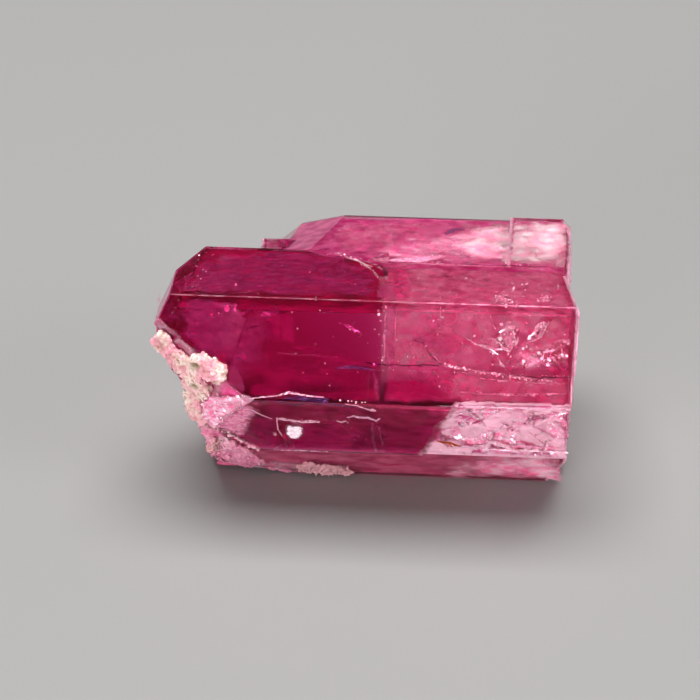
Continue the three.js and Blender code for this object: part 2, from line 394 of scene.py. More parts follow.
# The front prism between the far left and a curved end, as columns from front to back.
def mainZoneSolid():
    side = crystalPlan["frontSide"] - zoneLook["inset"] * 2 / math.sqrt(3)
    half = side * math.sqrt(3) / 2
    work = bmesh.new()
    rows = []
    columns = zoneLook["columns"]
    left = zoneLook["farLeft"]
    for i in range(columns + 1):
        y = side * (2 * i / columns - 1) * 0.999
        z = min(half, (side - abs(y)) * math.sqrt(3))
        end = interpolate(zoneLook["end"], y)
        corners = [(left, y, z), (end, y, z), (end, y, -z), (left, y, -z)]
        rows.append([work.verts.new(place(c)) for c in corners])
    for row, after in zip(rows, rows[1:]):
        for i in range(4):
            j = (i + 1) % 4
            work.faces.new((row[i], row[j], after[j], after[i]))
    work.faces.new(rows[0])
    work.faces.new(rows[-1])
    bmesh.ops.recalc_face_normals(work, faces=work.faces)
    return work


def lobeSolid():
    work = bmesh.new()
    deep = crystalPlan["frontSide"] * math.sqrt(3) - zoneLook["inset"]
    front = [work.verts.new(onFace("main", x, up, zoneLook["inset"])) for x, up in zoneLook["lobe"]]
    back = [work.verts.new(onFace("main", x, up, deep)) for x, up in zoneLook["lobe"]]
    for i in range(len(front)):
        j = (i + 1) % len(front)
        work.faces.new((front[i], front[j], back[j], back[i]))
    work.faces.new(front)
    work.faces.new(back)
    bmesh.ops.recalc_face_normals(work, faces=work.faces)
    return work


def scratchObject(work):
    mesh = bpy.data.meshes.new("scratch")
    work.to_mesh(mesh)
    work.free()
    body = bpy.data.objects.new("scratch", mesh)
    bpy.context.scene.collection.objects.link(body)
    return body


def evaluatedMesh(body):
    depsgraph = bpy.context.evaluated_depsgraph_get()
    return bpy.data.meshes.new_from_object(body.evaluated_get(depsgraph), depsgraph=depsgraph)


# Keeps what two closed meshes share.
def sharedPart(first, second):
    body = scratchObject(first)
    other = scratchObject(second)
    cut = body.modifiers.new("shared part", "BOOLEAN")
    cut.operation = "INTERSECT"
    cut.solver = "EXACT"
    cut.object = other
    result = evaluatedMesh(body)
    bpy.data.objects.remove(body)
    bpy.data.objects.remove(other)
    work = bmesh.new()
    work.from_mesh(result)
    return work


for zoneName, zoneSolid, density in (("deep_colour_zone", mainZoneSolid(), zoneLook["density"]),
                                     ("deep_colour_lobe", lobeSolid(), zoneLook["lobeDensity"])):
    zoneWork = sharedPart(zoneSolid, insetCrystal(zoneLook["inset"] + 0.02))
    print(zoneName, "faces", len(zoneWork.faces))
    newPiece(zoneName, zoneWork, zoneMaterial(zoneName, density))
print("colour zones made")


# Inclusions sealed just under the faces: veils of tiny fluid pockets, healed cracks and films, and a few
# sheets of painted highlight, reflection and shade.
# Each look has two colours, how much it hides at most and the least share of that in its gaps, its
# grain in mm, how far the grain is drawn out along the axis, how crisp its edges are from 0, misty,
# to 1, cut, how much of the light it scatters goes on through, and how far its air film mirrors.
def veilLook(first, second, cover, least, grain, drawn, crisp, through=0.3, mirror=0.0):
    return {"colours": (first, second), "cover": cover, "least": least, "grain": grain, "drawn": drawn,
            "crisp": crisp, "through": through, "mirror": mirror}


inclusionLooks = {
    "crimsonHaze": veilLook("#A80046", "#C60C56", 0.85, 0.8, 0.6, 2.5, 0.0),
    "crimsonVeil": veilLook("#BC0050", "#D80C64", 0.55, 0.6, 0.8, 1.8, 0.0),
    "magentaHaze": veilLook("#B4105C", "#D63C88", 0.6, 0.35, 0.35, 1.6, 0.0),
    "magentaVeil": veilLook("#CE3884", "#F070AE", 0.98, 0.95, 0.5, 1.6, 0.0),
    "plumHaze": veilLook("#C83E74", "#EE7CA6", 0.85, 0.6, 0.5, 3.0, 0.0),
    "roseHaze": veilLook("#C83E76", "#EE74A4", 0.8, 0.7, 0.4, 1.5, 0.0),
    "brightHaze": veilLook("#DC307A", "#FA66A6", 0.62, 0.4, 0.5, 1.2, 0.0),
    "milkyCloud": veilLook("#FF6CA8", "#FFBCD8", 0.28, 0.0, 0.4, 1.4, 0.1),
    "breakVeil": veilLook("#FF8CBC", "#FFE0F0", 0.95, 0.6, 0.3, 1.3, 0.1, 0.35),
    "lilacHaze": veilLook("#D8388A", "#FA78B6", 0.78, 0.62, 0.5, 1.5, 0.0),
    "pinkCloud": veilLook("#C82A72", "#EA5C9E", 0.5, 0.15, 0.32, 1.6, 0.0),
    "paleCloud": veilLook("#FFC4D6", "#FFF4F4", 0.95, 0.75, 0.5, 1.2, 0.0),
    "darkCloud": veilLook("#7A0030", "#96063E", 0.6, 0.3, 0.3, 1.8, 0.0),
    "healedCrack": veilLook("#DE5C94", "#FFD2E4", 0.8, 0.05, 0.06, 3.0, 0.6, mirror=0.55),
    "whiteBreak": veilLook("#FF9CC6", "#FFF2F8", 0.85, 0.4, 0.06, 1.2, 0.5, 0.15, mirror=0.6),
    # mostly a painted reflection; on the rear top a violet spot
    "violetSpotAndReflection": veilLook("#5A2070", "#A060B0", 0.65, 0.25, 0.1, 3.0, 0.2),
    "darkFilm": veilLook("#3A0228", "#660A38", 0.8, 0.2, 0.1, 3.0, 0.3),
    "paleBand": veilLook("#F678AC", "#FFC6DE", 0.7, 0.45, 0.12, 1.5, 0.2, mirror=0.15),
    "lilacBreak": veilLook("#F09CD0", "#FFF0FC", 0.85, 0.5, 0.08, 1.2, 0.3, 0.2, mirror=0.4),
    "mauveShade": veilLook("#A01458", "#B43C78", 0.75, 0.6, 0.1, 1.5, 0.0),
    "magentaGlow": veilLook("#D81474", "#FF5CB0", 0.85, 0.3, 0.07, 1.5, 0.2, 0.2, mirror=0.4),
    "surfaceCrack": veilLook("#DC70A4", "#FFE8F2", 0.85, 0.05, 0.045, 2.0, 0.5, 0.2),
    "whiteHaze": veilLook("#FFA8C4", "#FFE8EC", 0.42, 0.12, 0.6, 1.2, 0.0),
    "crimsonGlow": veilLook("#70002A", "#A40C50", 0.5, 0.4, 0.7, 1.5, 0.0),
    # a painted highlight, not an inclusion
    "paintedGlint": veilLook("#FFC8E4", "#FFFFFF", 1.0, 0.6, 0.07, 1.0, 0.4, 0.1),
    "rimFrost": veilLook("#F878A8", "#FFD0E0", 0.7, 0.25, 0.5, 2.0, 0.0, 0.2),
    "rust": veilLook("#5A1C02", "#B04A0C", 1.0, 1.0, 0.05, 1.5, 0.9, 0.0),
}


def inclusionMaterial(kind):
    look = inclusionLooks[kind]
    material, tree = newMaterial("beryl_inclusion_" + kind)
    out = addNode(tree, "ShaderNodeOutputMaterial")
    coords = addNode(tree, "ShaderNodeTexCoord")
    fade = addNode(tree, "ShaderNodeAttribute", {"attribute_name": "fade"})
    drawn = addNode(tree, "ShaderNodeMapping", {"Scale": (1 / look["drawn"], 1, 1)},
                    Vector=coords.outputs["Object"])
    cloud = addNode(tree, "ShaderNodeTexNoise",
                    {"Scale": 1 / (look["grain"] * mm), "Detail": 2.0 + 5.0 * look["crisp"],
                     "Roughness": 0.62,
                     "Distortion": 0.6},
                    Vector=drawn.outputs["Vector"])
    ragged = addNode(tree, "ShaderNodeMath", {"operation": "MULTIPLY_ADD", 1: 1.2, 2: -0.6},
                     _0=cloud.outputs["Fac"])
    reach = addNode(tree, "ShaderNodeMath", {"operation": "ADD"}, _0=fade.outputs["Fac"],
                    _1=ragged.outputs["Value"])
    edge = addNode(tree, "ShaderNodeMapRange",
                   {"From Min": 0.05, "From Max": 0.85, "To Max": look["cover"],
                    "interpolation_type": "SMOOTHSTEP"},
                   Value=reach.outputs["Value"])
    width = 0.2 * (1 - look["crisp"]) + 0.02
    body = addNode(tree, "ShaderNodeMapRange",
                   {"From Min": 0.5 - width, "From Max": 0.5 + width, "To Min": look["least"]},
                   Value=cloud.outputs["Fac"])
    alpha = addNode(tree, "ShaderNodeMath", {"operation": "MULTIPLY"}, _0=edge.outputs["Result"],
                    _1=body.outputs["Result"])
    tint = addNode(tree, "ShaderNodeTexNoise", {"Scale": 2.3 / (look["grain"] * mm), "Detail": 3.0},
                   Vector=drawn.outputs["Vector"])
    colour = colourRamp(tree, tint.outputs["Fac"], [(0.38, look["colours"][0]), (0.62, look["colours"][1])])
    face = addNode(tree, "ShaderNodeBsdfPrincipled",
                   {"Roughness": 0.3, "Specular IOR Level": 0.0, "Metallic": look["mirror"]},
                   Base_Color=colour)
    through = addNode(tree, "ShaderNodeBsdfTranslucent", Color=colour)
    veil = addNode(tree, "ShaderNodeMixShader", {0: look["through"]}, _1=face.outputs[0],
                   _2=through.outputs[0])
    gap = addNode(tree, "ShaderNodeBsdfTransparent")
    shader = addNode(tree, "ShaderNodeMixShader", None, _0=alpha.outputs["Value"], _1=gap.outputs[0],
                     _2=veil.outputs[0])
    tree.links.new(shader.outputs[0], out.inputs["Surface"])
    return material


# An outline with a corner every `step` mm, each moved a little at random.
def raggedOutline(outline, ragged, step=0.06):
    points = []
    for (x0, u0), (x1, u1) in zip(outline, outline[1:] + outline[:1]):
        count = max(1, round(math.hypot(x1 - x0, u1 - u0) / step))
        for i in range(count):
            x = x0 + (x1 - x0) * i / count
            u = u0 + (u1 - u0) * i / count
            spot = Vector((x, u, 0.7))
            wander = noise.noise_vector(spot * 9) + 0.5 * noise.noise_vector(spot * 25)
            points.append((x + wander.x * ragged, u + wander.y * ragged))
    return points


def edgeDistance(x, u, outline):
    best = 9.0
    for (x0, u0), (x1, u1) in zip(outline, outline[1:] + outline[:1]):
        dx, du = x1 - x0, u1 - u0
        along = max(0.0, min(1.0, ((x - x0) * dx + (u - u0) * du) / max(dx * dx + du * du, 1e-9)))
        best = min(best, math.hypot(x - x0 - along * dx, u - u0 - along * du))
    return best


sheetThickness = 0.004  # mm


# A thin closed sheet on a prism face's outline, `depth` mm under the face, that rises and falls
# by `relief` and fades out over `fade` mm at its edge. It leans deeper along X and up by `lean`.
def sheet(work, face, outline, depth=0.05, relief=0.02, ragged=0.03, fade=0.0, grain=0.135, lean=(0, 0)):
    layer = work.verts.layers.float.get("fade") or work.verts.layers.float.new("fade")
    ring = raggedOutline(outline, ragged)
    part = bmesh.new()
    part.faces.new([part.verts.new((x, u, 0)) for x, u in ring])
    bmesh.ops.triangulate(part, faces=part.faces, ngon_method="EAR_CLIP")
    for step in range(7):
        long = [e for e in part.edges if e.calc_length() > grain]
        if not long:
            break
        bmesh.ops.subdivide_edges(part, edges=long, cuts=1)
        bmesh.ops.triangulate(part, faces=[f for f in part.faces if len(f.verts) > 3])
    middle = (sum(x for x, u in ring) / len(ring), sum(u for x, u in ring) / len(ring))
    sides = []
    for side in (0, 1):
        copies = {}
        for vert in part.verts:
            x, u = vert.co.x, vert.co.y
            wave = noise.fractal(Vector((x, u, depth)) * 4, 0.9, 2.0, 3) * relief
            slope = (x - middle[0]) * lean[0] + (u - middle[1]) * lean[1]
            spot = onFace(face, x, u, depth + wave + slope + side * sheetThickness)
            copy = work.verts.new(spot)
            copy[layer] = 1.0 if fade <= 0 else min(1.0, edgeDistance(x, u, outline) / fade)
            copies[vert] = copy
        sides.append(copies)
    for triangle in part.faces:
        work.faces.new([sides[0][v] for v in triangle.verts])
        work.faces.new([sides[1][v] for v in reversed(triangle.verts)])
    for edge in part.edges:
        if len(edge.link_faces) == 1:
            first, second = edge.verts
            work.faces.new((sides[0][second], sides[0][first], sides[1][first], sides[1][second]))
    part.free()


# A line of points given a width, as the outline of a ribbon; a third value widens it there.
def ribbon(points, width):
    left, right = [], []
    for i, point in enumerate(points):
        before, after = points[max(i - 1, 0)], points[min(i + 1, len(points) - 1)]
        along = Vector((after[0] - before[0], after[1] - before[1])).normalized()
        half = width / 2 * (point[2] if len(point) > 2 else 1.0)
        left.append((point[0] - along.y * half, point[1] + along.x * half))
        right.append((point[0] + along.y * half, point[1] - along.x * half))
    return left + right[::-1]


def box(x0, u0, x1, u1):
    return [(x0, u0), (x1, u0), (x1, u1), (x0, u1)]


# Sheets that lie just outside a face, and small ones inside that catch the light.
atSurface = {"depth": -0.009, "ragged": 0.015, "relief": 0.001, "grain": 0.18}
flashing = {"depth": 0.03, "ragged": 0.01, "fade": 0.03, "lean": (0, 0.6)}


# How a sheet lies: its depth in mm, how far it fades in, and what else differs from the usual.
def under(depth, fade=0.0, **extra):
    return {"depth": depth, "fade": fade, **extra}


# Where each kind lies: the prism face, its outline there in mm, and how the sheet is made.
inclusions = {
    "crimsonHaze": [
        ("top", [(-4.3, 1.42), (-1.6, 1.44), (0.3, 1.15), (0.55, 0.0), (0.5, -1.36), (-4.75, -1.36)],
         under(0.35, 0.05)),
    ],
    "magentaHaze": [
        ("top", [(-4.7, -1.2), (-4.4, -0.2), (-3.6, 0.9), (-2.6, 1.3), (-0.6, 1.3), (0.3, 0.1),
         (0.4, -1.1), (-2.0, -1.2)], under(0.05, 0.5)),
        ("main", [(-4.6, 1.25), (-3.4, 1.25), (-3.2, 0.4), (-3.6, -0.4), (-4.3, -0.2), (-4.6, 0.6)],
         under(0.05, 0.4)),
        ("low", [(-3.27, 0.09), (-2.89, 0.19), (-2.39, 0.07), (-2.23, -0.07), (-2.31, -1.14),
         (-2.9, -1.11), (-3.3, -0.52)], under(0.05, 0.1)),
        ("low", box(-0.4, -1.2, 0.7, -0.1), under(0.08, 0.3)),
        ("rearTop", [(-2.35, 1.8), (-2.3, 2.9), (-1.6, 3.65), (1.0, 3.7), (1.0, 3.3), (-1.0, 3.1),
         (-2.0, 2.2)], under(0.6, 0.05)),
        ("rearTop", box(-2.8, 2.15, -1.3, 2.55), under(0.33, 0.05, relief=0.005)),
        ("main", [(-5.3, 1.28), (-2.0, 1.28), (-1.9, 0.6), (-2.4, -0.4), (-2.9, -1.0), (-3.6, -0.9),
         (-4.5, -0.2), (-5.3, 0.5)], under(0.12, 1.1, ragged=0.15)),
        ("top", [(-4.8, -1.26), (-2.4, -1.26), (-2.9, -0.4), (-3.6, 0.6), (-4.2, 1.25), (-4.85, 0.0)],
         under(0.1, 0.9, ragged=0.15)),
        ("low", [(-3.3, 0.6), (-2.85, 1.25), (-2.2, 1.15), (-1.95, 0.3), (-2.2, -0.6), (-2.6, -1.2),
         (-3.0, -0.4)], under(0.06, 0.25)),
    ],
    "magentaVeil": [],  # only as an end veil
    "plumHaze": [
        ("rearLow", [(-4.0, -3.3), (5.1, -3.3), (5.1, -1.6), (-3.6, -1.6)], under(0.12, 0.1)),
    ],
    "crimsonVeil": [
        ("main", [(-2.5, 1.0), (-1.7, 1.0), (-1.6, 0.1), (-2.4, 0.1)], under(0.04, 0.3)),
        ("main", [(-2.9, -1.29), (0.55, -1.29), (0.5, -0.8), (-1.0, -0.9), (-2.9, -0.75)],
         under(0.06, 0.3)),
        ("main", [(-2.9, -1.29), (0.55, -1.29), (0.5, -0.95), (-2.9, -0.95)], under(0.1, 0.2)),
        ("low", [(-2.7, 1.29), (0.45, 1.29), (0.45, 0.5), (-0.9, 0.35), (-2.3, 0.45)], under(0.05, 0.12)),
        ("low", [(-0.3, 1.29), (1.85, 1.29), (1.75, -1.2), (-0.1, -1.2)], under(0.1, 0.3)),
        ("main", [(0.56, -0.6), (1.2, -0.56), (1.85, -0.68), (2.2, -0.88), (2.4, -1.2), (1.4, -1.27),
         (0.56, -1.27)], under(0.06, 0.25)),
        ("main", [(-2.8, -1.28), (0.55, -1.28), (0.5, -0.3), (-0.4, 0.1), (-1.6, -0.1), (-2.8, 0.1)],
         under(0.15, 0.7)),
        ("main", [(-5.0, 1.28), (-1.6, 1.28), (-2.2, 0.5), (-1.8, -0.5), (-2.6, -1.1), (-3.4, -1.0),
         (-4.7, 0.2)], under(0.25, 1.0)),
    ],
    "roseHaze": [
        ("top", [(0.5, -1.26), (5.3, -1.26), (5.0, 0.8), (0.5, 0.8)], under(0.3, 0.06)),
    ],
    "brightHaze": [
        ("top", [(0.55, -1.25), (1.3, -1.25), (1.2, 0.5), (0.6, 0.6)], under(0.08, 0.3)),
        ("main", box(0.6, -1.25, 5.3, 1.25), under(0.3, 0.2)),
        ("main", box(1.9, -1.25, 5.3, -0.3), under(0.2, 0.3)),
    ],
    "milkyCloud": [
        ("rearTop", [(-0.4, 1.1), (0.6, 2.4), (2.2, 2.9), (3.6, 2.8), (3.8, 1.2), (2.2, 0.95), (0.9, 0.9)],
         {**atSurface, "fade": 0.7}),
        ("main", ribbon([(0.66, 1.24), (0.7, 0.8), (0.68, 0.21)], 0.3), under(0.06, 0.12)),
        ("top", ribbon([(0.4, 0.1), (0.55, -0.5), (0.64, -1.2)], 0.35), under(0.06, 0.12)),
        ("main", [(3.79, 0.52), (4.46, 0.67), (4.97, 0.53), (5.2, 0.24), (5.12, -0.19), (4.25, -0.32),
         (3.73, -0.06)], under(0.1, 0.3, lean=(0.2, 0.5))),
        ("main", [(3.3, 0.8), (3.7, 1.0), (4.8, 1.0), (4.6, 0.5), (3.9, 0.3), (3.4, 0.1), (3.1, 0.4)],
         under(0.1, 0.25)),
        ("main", box(0.6, -0.3, 5.25, 1.22), under(0.16, 0.15)),
        ("main", box(2.2, -1.2, 5.25, -0.4), under(0.12, 0.2)),
        ("top", [(0.6, -1.2), (5.2, -1.2), (4.9, 0.6), (0.9, 0.6)], under(0.14, 0.15)),
        ("rearTop", [(-1.4, 1.9), (-0.8, 3.1), (1.2, 3.4), (3.6, 3.3), (3.2, 1.1), (0.6, 1.0)],
         under(0.08, 0.3)),
    ],
    "breakVeil": [
        ("low", [(2.3, 0.4), (2.7, 0.9), (5.2, 0.95), (5.2, -1.25), (1.85, -1.25), (2.1, -0.2)],
         under(0.2, 0.1, relief=0.06)),
        ("low", [(-4.1, 0.9), (-3.8, 1.3), (-3.12, 1.39), (-2.8, 1.1), (-2.98, 0.36), (-3.77, -0.3),
         (-4.1, 0.1)], under(0.08, 0.15, relief=0.05)),
        ("rearLow", [(3.0, -3.15), (5.1, -3.1), (5.1, -2.0), (2.6, -2.0)], under(0.04, 0.4)),
        ("rearLow", [(-3.6, -3.2), (-0.4, -3.35), (-0.6, -3.05), (-2.4, -2.7)], under(0.04, 0.15)),
    ],
    "lilacHaze": [
        ("rearTop", [(-1.75, 1.42), (-1.0, 3.4), (1.2, 3.53), (5.05, 3.53), (5.05, 0.6), (0.8, 0.6),
         (-1.4, 1.2)], under(0.12, 0.05)),
    ],
    "pinkCloud": [
        ("top", [(0.3, 0.3), (0.75, 0.3), (0.78, 0.8), (0.35, 0.78)], under(0.05, 0.08)),
        ("rearTop", [(0.4, 0.9), (0.95, 0.9), (0.95, 1.3), (0.4, 1.3)], under(0.05, 0.08)),
        ("top", [(0.28, -1.22), (0.8, -1.22), (0.7, -0.2), (0.3, -0.1)], under(0.04, 0.12)),
        ("top", [(-4.06, 1.0), (-3.8, 1.13), (-3.3, 1.0), (-2.9, 0.55), (-3.4, 0.15), (-3.9, 0.26)],
         under(0.1, 0.25)),
        ("top", [(-4.85, -1.15), (-4.6, -0.55), (-4.3, -0.1), (-3.9, 0.12), (-3.3, 0.05), (-2.8, -0.5),
         (-2.7, -1.2), (-4.0, -1.2)], under(0.08, 0.3)),
        ("top", ribbon([(-3.0, 1.12), (-2.2, 1.05), (-1.4, 1.1)], 0.16), under(0.1, 0.07)),
        ("main", [(-4.5, 1.22), (-3.3, 1.21), (-2.95, 0.72), (-3.2, 0.0), (-3.9, 0.0), (-4.4, 0.5)],
         under(0.1, 0.2)),
        ("main", box(0.59, -0.3, 0.84, 1.24), under(0.06, 0.05)),
        ("main", ribbon([(-0.85, 1.0), (-0.8, 0.96)], 0.09), under(0.04, ragged=0.006)),
        ("main", ribbon([(-1.2, 0.2), (-1.17, 0.13)], 0.06), under(0.04, ragged=0.006)),
        ("main", ribbon([(-0.75, 0.38), (-0.7, 0.36)], 0.05), under(0.04, ragged=0.006)),
        ("main", ribbon([(-1.22, -0.35), (-1.2, -0.39)], 0.05), under(0.04, ragged=0.006)),
        ("main", ribbon([(-1.02, -0.42), (-0.99, -0.46)], 0.05), under(0.04, ragged=0.006)),
        ("main", ribbon([(0.35, -0.5, 0.6), (0.42, -0.9, 1.0), (0.45, -1.25, 0.8)], 0.14),
         under(0.05, 0.05)),
        ("main", [(0.95, 0.47), (1.7, 0.75), (2.33, 0.64), (2.72, 0.15), (2.23, -0.16), (1.6, -0.05)],
         under(0.1, 0.35)),
        ("main", ribbon([(-2.11, -0.09), (-0.62, -0.14)], 0.025), under(0.03)),
        ("main", [(-3.64, -0.44), (-3.16, -0.45), (-2.97, -0.8), (-2.91, -1.17), (-3.49, -1.19),
         (-3.63, -0.82)], under(0.03, ragged=0.02)),
    ],
    "paleCloud": [
        ("rearTop", [(2.2, 3.3), (3.8, 3.5), (5.12, 3.4), (5.12, 0.9), (4.4, 0.75), (3.2, 1.1), (3.0, 1.9),
         (2.6, 2.5)], under(0.05, 0.9, ragged=0.08)),
        ("rearTop", [(3.7, 3.3), (5.13, 3.35), (5.13, 0.95), (4.3, 1.1), (3.8, 2.2)],
         under(0.03, 0.6, ragged=0.08)),
    ],
    "darkCloud": [
        ("low", [(-1.4, 0.1), (-1.1, 0.2), (-0.65, 0.1), (-0.6, -0.5), (-0.8, -0.9), (-1.35, -0.85)],
         under(0.3, 0.6)),
    ],
    "healedCrack": [
        ("main", ribbon([(1.8, -0.02, 0.6), (2.06, -0.26, 1.0), (3.1, -0.4, 1.2), (4.3, -0.52, 1.1),
         (4.8, -0.55, 0.7)], 0.05), under(0.02)),
        ("main", ribbon([(2.84, 0.3, 0.5), (3.22, 0.24, 1.2), (3.65, 0.18, 0.6)], 0.06),
         under(0.03, lean=(0, 1.2))),
        ("rearTop", ribbon([(0.0, 0.98, 0.4), (0.4, 1.36, 0.8), (0.9, 1.5, 0.6), (1.35, 1.12, 0.8),
         (0.95, 0.66, 1.0), (0.4, 0.58, 0.6)], 0.08), under(0.03)),
        ("rearTop", ribbon([(2.95, 1.72, 0.5), (3.3, 1.5, 1.0), (3.61, 1.38, 0.5)], 0.04), under(0.03)),
        ("main", ribbon([(1.95, 1.2), (1.97, 0.76), (1.9, 0.5)], 0.025), under(0.03)),
        ("main", ribbon([(3.14, 1.2), (3.22, 0.98), (3.33, 0.7)], 0.025), under(0.03)),
        ("top", ribbon([(1.83, -0.25), (1.92, -1.02)], 0.025), under(0.03)),
        ("main", ribbon([(3.0, -0.55, 0.5), (3.9, -0.62, 1.0), (5.2, -0.6, 0.6)], 0.05), under(0.03)),
        ("main", ribbon([(2.3, -0.9, 0.5), (3.6, -0.94, 1.0), (5.2, -0.86, 0.6)], 0.06), under(0.03)),
    ],
    "whiteBreak": [
        ("low", ribbon([(-3.7, 1.3), (-3.54, 1.1), (-3.28, 0.95)], 0.05), under(0.015)),
        ("low", ribbon([(3.11, -0.98, 0.5), (4.23, -0.97, 1.0), (5.27, -0.97, 0.6)], 0.04),
         under(0.06, lean=(0, 1.0))),
        ("low", ribbon([(3.2, -0.63, 0.4), (3.53, -0.69, 1.6), (3.79, -0.79, 1.3), (3.99, -0.88, 0.4)],
         0.07), under(0.04, ragged=0.03, lean=(0, 0.6))),
        ("low", ribbon([(4.42, -0.03, 0.6), (4.47, -0.13, 1.0)], 0.08), under(0.04, ragged=0.03)),
        ("main", ribbon([(3.46, 0.6, 0.5), (3.56, 0.71, 1.2), (3.67, 0.8, 1.6), (3.76, 0.74, 0.8)], 0.06),
         under(0.04, ragged=0.03, lean=(0, 0.8))),
        ("main", ribbon([(3.76, 0.78, 0.5), (3.81, 0.59, 1.0), (3.86, 0.42, 0.8), (3.74, 0.16, 0.6)],
         0.035), under(0.04, ragged=0.02)),
        ("main", ribbon([(3.43, 0.39, 0.4), (3.52, 0.26, 1.0), (3.65, 0.18, 1.2), (3.74, 0.15, 0.5)],
         0.045), under(0.04, ragged=0.02)),
        ("main", ribbon([(3.85, 0.28, 0.5), (3.9, 0.4, 1.2), (3.94, 0.52, 0.5)], 0.06),
         under(0.04, ragged=0.03)),
        ("main", ribbon([(2.61, 0.44, 0.3), (2.87, 0.3, 1.0), (3.07, 0.26, 1.6), (3.26, 0.19, 0.7),
         (3.44, 0.06, 0.4)], 0.045), under(0.04, ragged=0.02, lean=(0, 0.8))),
        ("main", ribbon([(4.15, 0.47, 0.3), (4.29, 0.63, 0.8), (4.4, 0.8, 1.8), (4.54, 0.88, 1.6),
         (4.66, 0.87, 0.5)], 0.07), under(0.04, ragged=0.035, lean=(0, 0.8))),
        ("main", ribbon([(4.66, 0.87, 0.4), (4.58, 0.7, 0.9), (4.5, 0.55, 0.7), (4.32, 0.44, 0.8),
         (4.17, 0.41, 0.3)], 0.04), under(0.04, ragged=0.02)),
        ("main", ribbon([(4.13, -0.26, 0.3), (4.34, -0.08, 1.1), (4.55, 0.02, 0.9), (4.6, 0.15, 0.4)],
         0.03), under(0.04, ragged=0.02)),
        ("main", ribbon([(3.42, -0.02, 0.5), (3.49, -0.15, 1.2), (3.62, -0.25, 0.8)], 0.05),
         under(0.04, ragged=0.04)),
        ("rearTop", ribbon([(2.25, 1.95), (2.6, 2.0), (2.85, 1.87)], 0.1), under(0.03, 0.02)),
        ("rearTop", ribbon([(-0.9, 1.25, 0.5), (-0.3, 0.9, 1.0), (0.1, 0.6, 0.8)], 0.06), under(0.02)),
    ],
    "paleBand": [
        ("low", [(-3.8, -0.15), (-3.4, 0.6), (-2.95, 1.22), (-2.5, 0.8), (-2.75, 0.3), (-2.9, -0.4),
         (-3.1, -0.7)], {**atSurface, "fade": 0.3}),
        ("rearTop", ribbon([(0.07, 0.98, 0.5), (0.42, 0.94, 1.2), (1.17, 1.12, 1.3), (1.9, 1.4, 0.5)],
         0.4), {**atSurface, "fade": 0.15}),
        ("rearTop", [(0.9, 2.3), (2.2, 2.8), (3.4, 2.6), (3.6, 1.4), (2.2, 1.1), (1.1, 1.3)],
         under(0.05, 0.8, ragged=0.1)),
        ("top", ribbon([(-0.3, 0.95, 0.4), (0.2, 0.6, 0.8), (0.45, 0.3, 0.6)], 0.16), under(0.03, 0.06)),
        ("top", ribbon([(0.75, 0.7, 0.6), (1.3, 0.78, 1.0), (2.2, 0.76, 0.8), (3.5, 0.74, 0.8),
         (4.6, 0.66, 0.6)], 0.14), under(0.03, 0.05, ragged=0.05)),
        ("main", ribbon([(0.575, 1.2), (0.57, 0.4), (0.57, -0.25)], 0.045), under(0.02, 0.015)),
        ("main", ribbon([(0.84, 1.15, 0.4), (0.82, 0.7, 1.0), (0.84, 0.2, 0.5)], 0.05), under(0.04, 0.02)),
        ("main", [(3.42, 0.62), (3.68, 0.84), (3.84, 0.74), (3.88, 0.45), (3.76, 0.14), (3.5, 0.2),
         (3.4, 0.42)], under(0.07, 0.06)),
        ("main", [(4.15, 0.44), (4.3, 0.68), (4.45, 0.92), (4.7, 0.9), (4.6, 0.66), (4.5, 0.5),
         (4.3, 0.4)], under(0.07, 0.08)),
        ("main", ribbon([(4.6, 0.28, 0.3), (4.84, 0.41, 1.0), (5.05, 0.48, 1.3), (5.23, 0.47, 0.6)], 0.1),
         under(0.05, 0.04, lean=(0, 1.2))),
        ("main", ribbon([(4.55, 0.12, 0.3), (4.84, 0.24, 1.1), (5.14, 0.36, 1.2), (5.24, 0.38, 0.5)], 0.1),
         under(0.05, 0.04, lean=(0, 1.2))),
        ("main", ribbon([(4.6, -0.04, 0.3), (4.89, 0.07, 1.2), (5.14, 0.17, 1.0), (5.23, 0.25, 0.5)], 0.1),
         under(0.05, 0.04, lean=(0, 1.2))),
        ("main", ribbon([(4.66, -0.18, 0.3), (4.9, -0.12, 1.0), (5.12, -0.03, 0.6)], 0.09),
         under(0.05, 0.04)),
        ("main", ribbon([(3.96, 0.29, 0.3), (4.15, 0.39, 1.2), (4.33, 0.34, 1.0), (4.51, 0.22, 0.4)], 0.1),
         under(0.05, 0.04, lean=(0, 1.2))),
        ("main", ribbon([(4.06, 0.03, 0.3), (4.25, 0.17, 1.2), (4.51, 0.23, 0.6)], 0.1),
         under(0.05, 0.04, lean=(0, 1.2))),
        ("main", ribbon([(4.1, -0.24, 0.3), (4.36, -0.1, 1.1), (4.58, 0.02, 0.9), (4.64, 0.15, 0.4)],
         0.13), under(0.06, 0.05)),
        ("main", ribbon([(2.9, 0.47, 0.4), (3.2, 0.46, 1.0), (3.46, 0.42, 0.5)], 0.05), under(0.05, 0.02)),
        ("top", [(3.24, -1.2), (3.28, -0.85), (3.4, -0.62), (3.62, -0.86), (3.78, -1.2)],
         under(0.05, 0.06, ragged=0.05)),
        ("top", [(4.36, -1.04), (4.4, -0.78), (4.56, -0.66), (4.72, -0.76), (4.66, -1.05)],
         under(0.05, 0.06, ragged=0.05)),
        ("low", ribbon([(3.95, 0.35, 0.4), (3.98, 0.08, 1.4), (4.01, -0.2, 0.5)], 0.1), under(0.05, 0.05)),
        ("low", ribbon([(4.9, 0.55, 0.4), (4.96, 0.29, 1.3), (5.05, -0.04, 0.5)], 0.14),
         under(0.05, 0.06)),
        ("low", ribbon([(5.0, 1.05, 0.4), (5.12, 0.6, 1.2), (5.16, 0.0, 1.4), (5.14, -0.7, 0.6)], 0.16),
         under(0.1, 0.06)),
        ("low", ribbon([(3.5, -0.85, 0.4), (4.2, -0.75, 1.0), (5.1, -0.86, 0.6)], 0.2), under(0.08, 0.08)),
    ],
    "lilacBreak": [
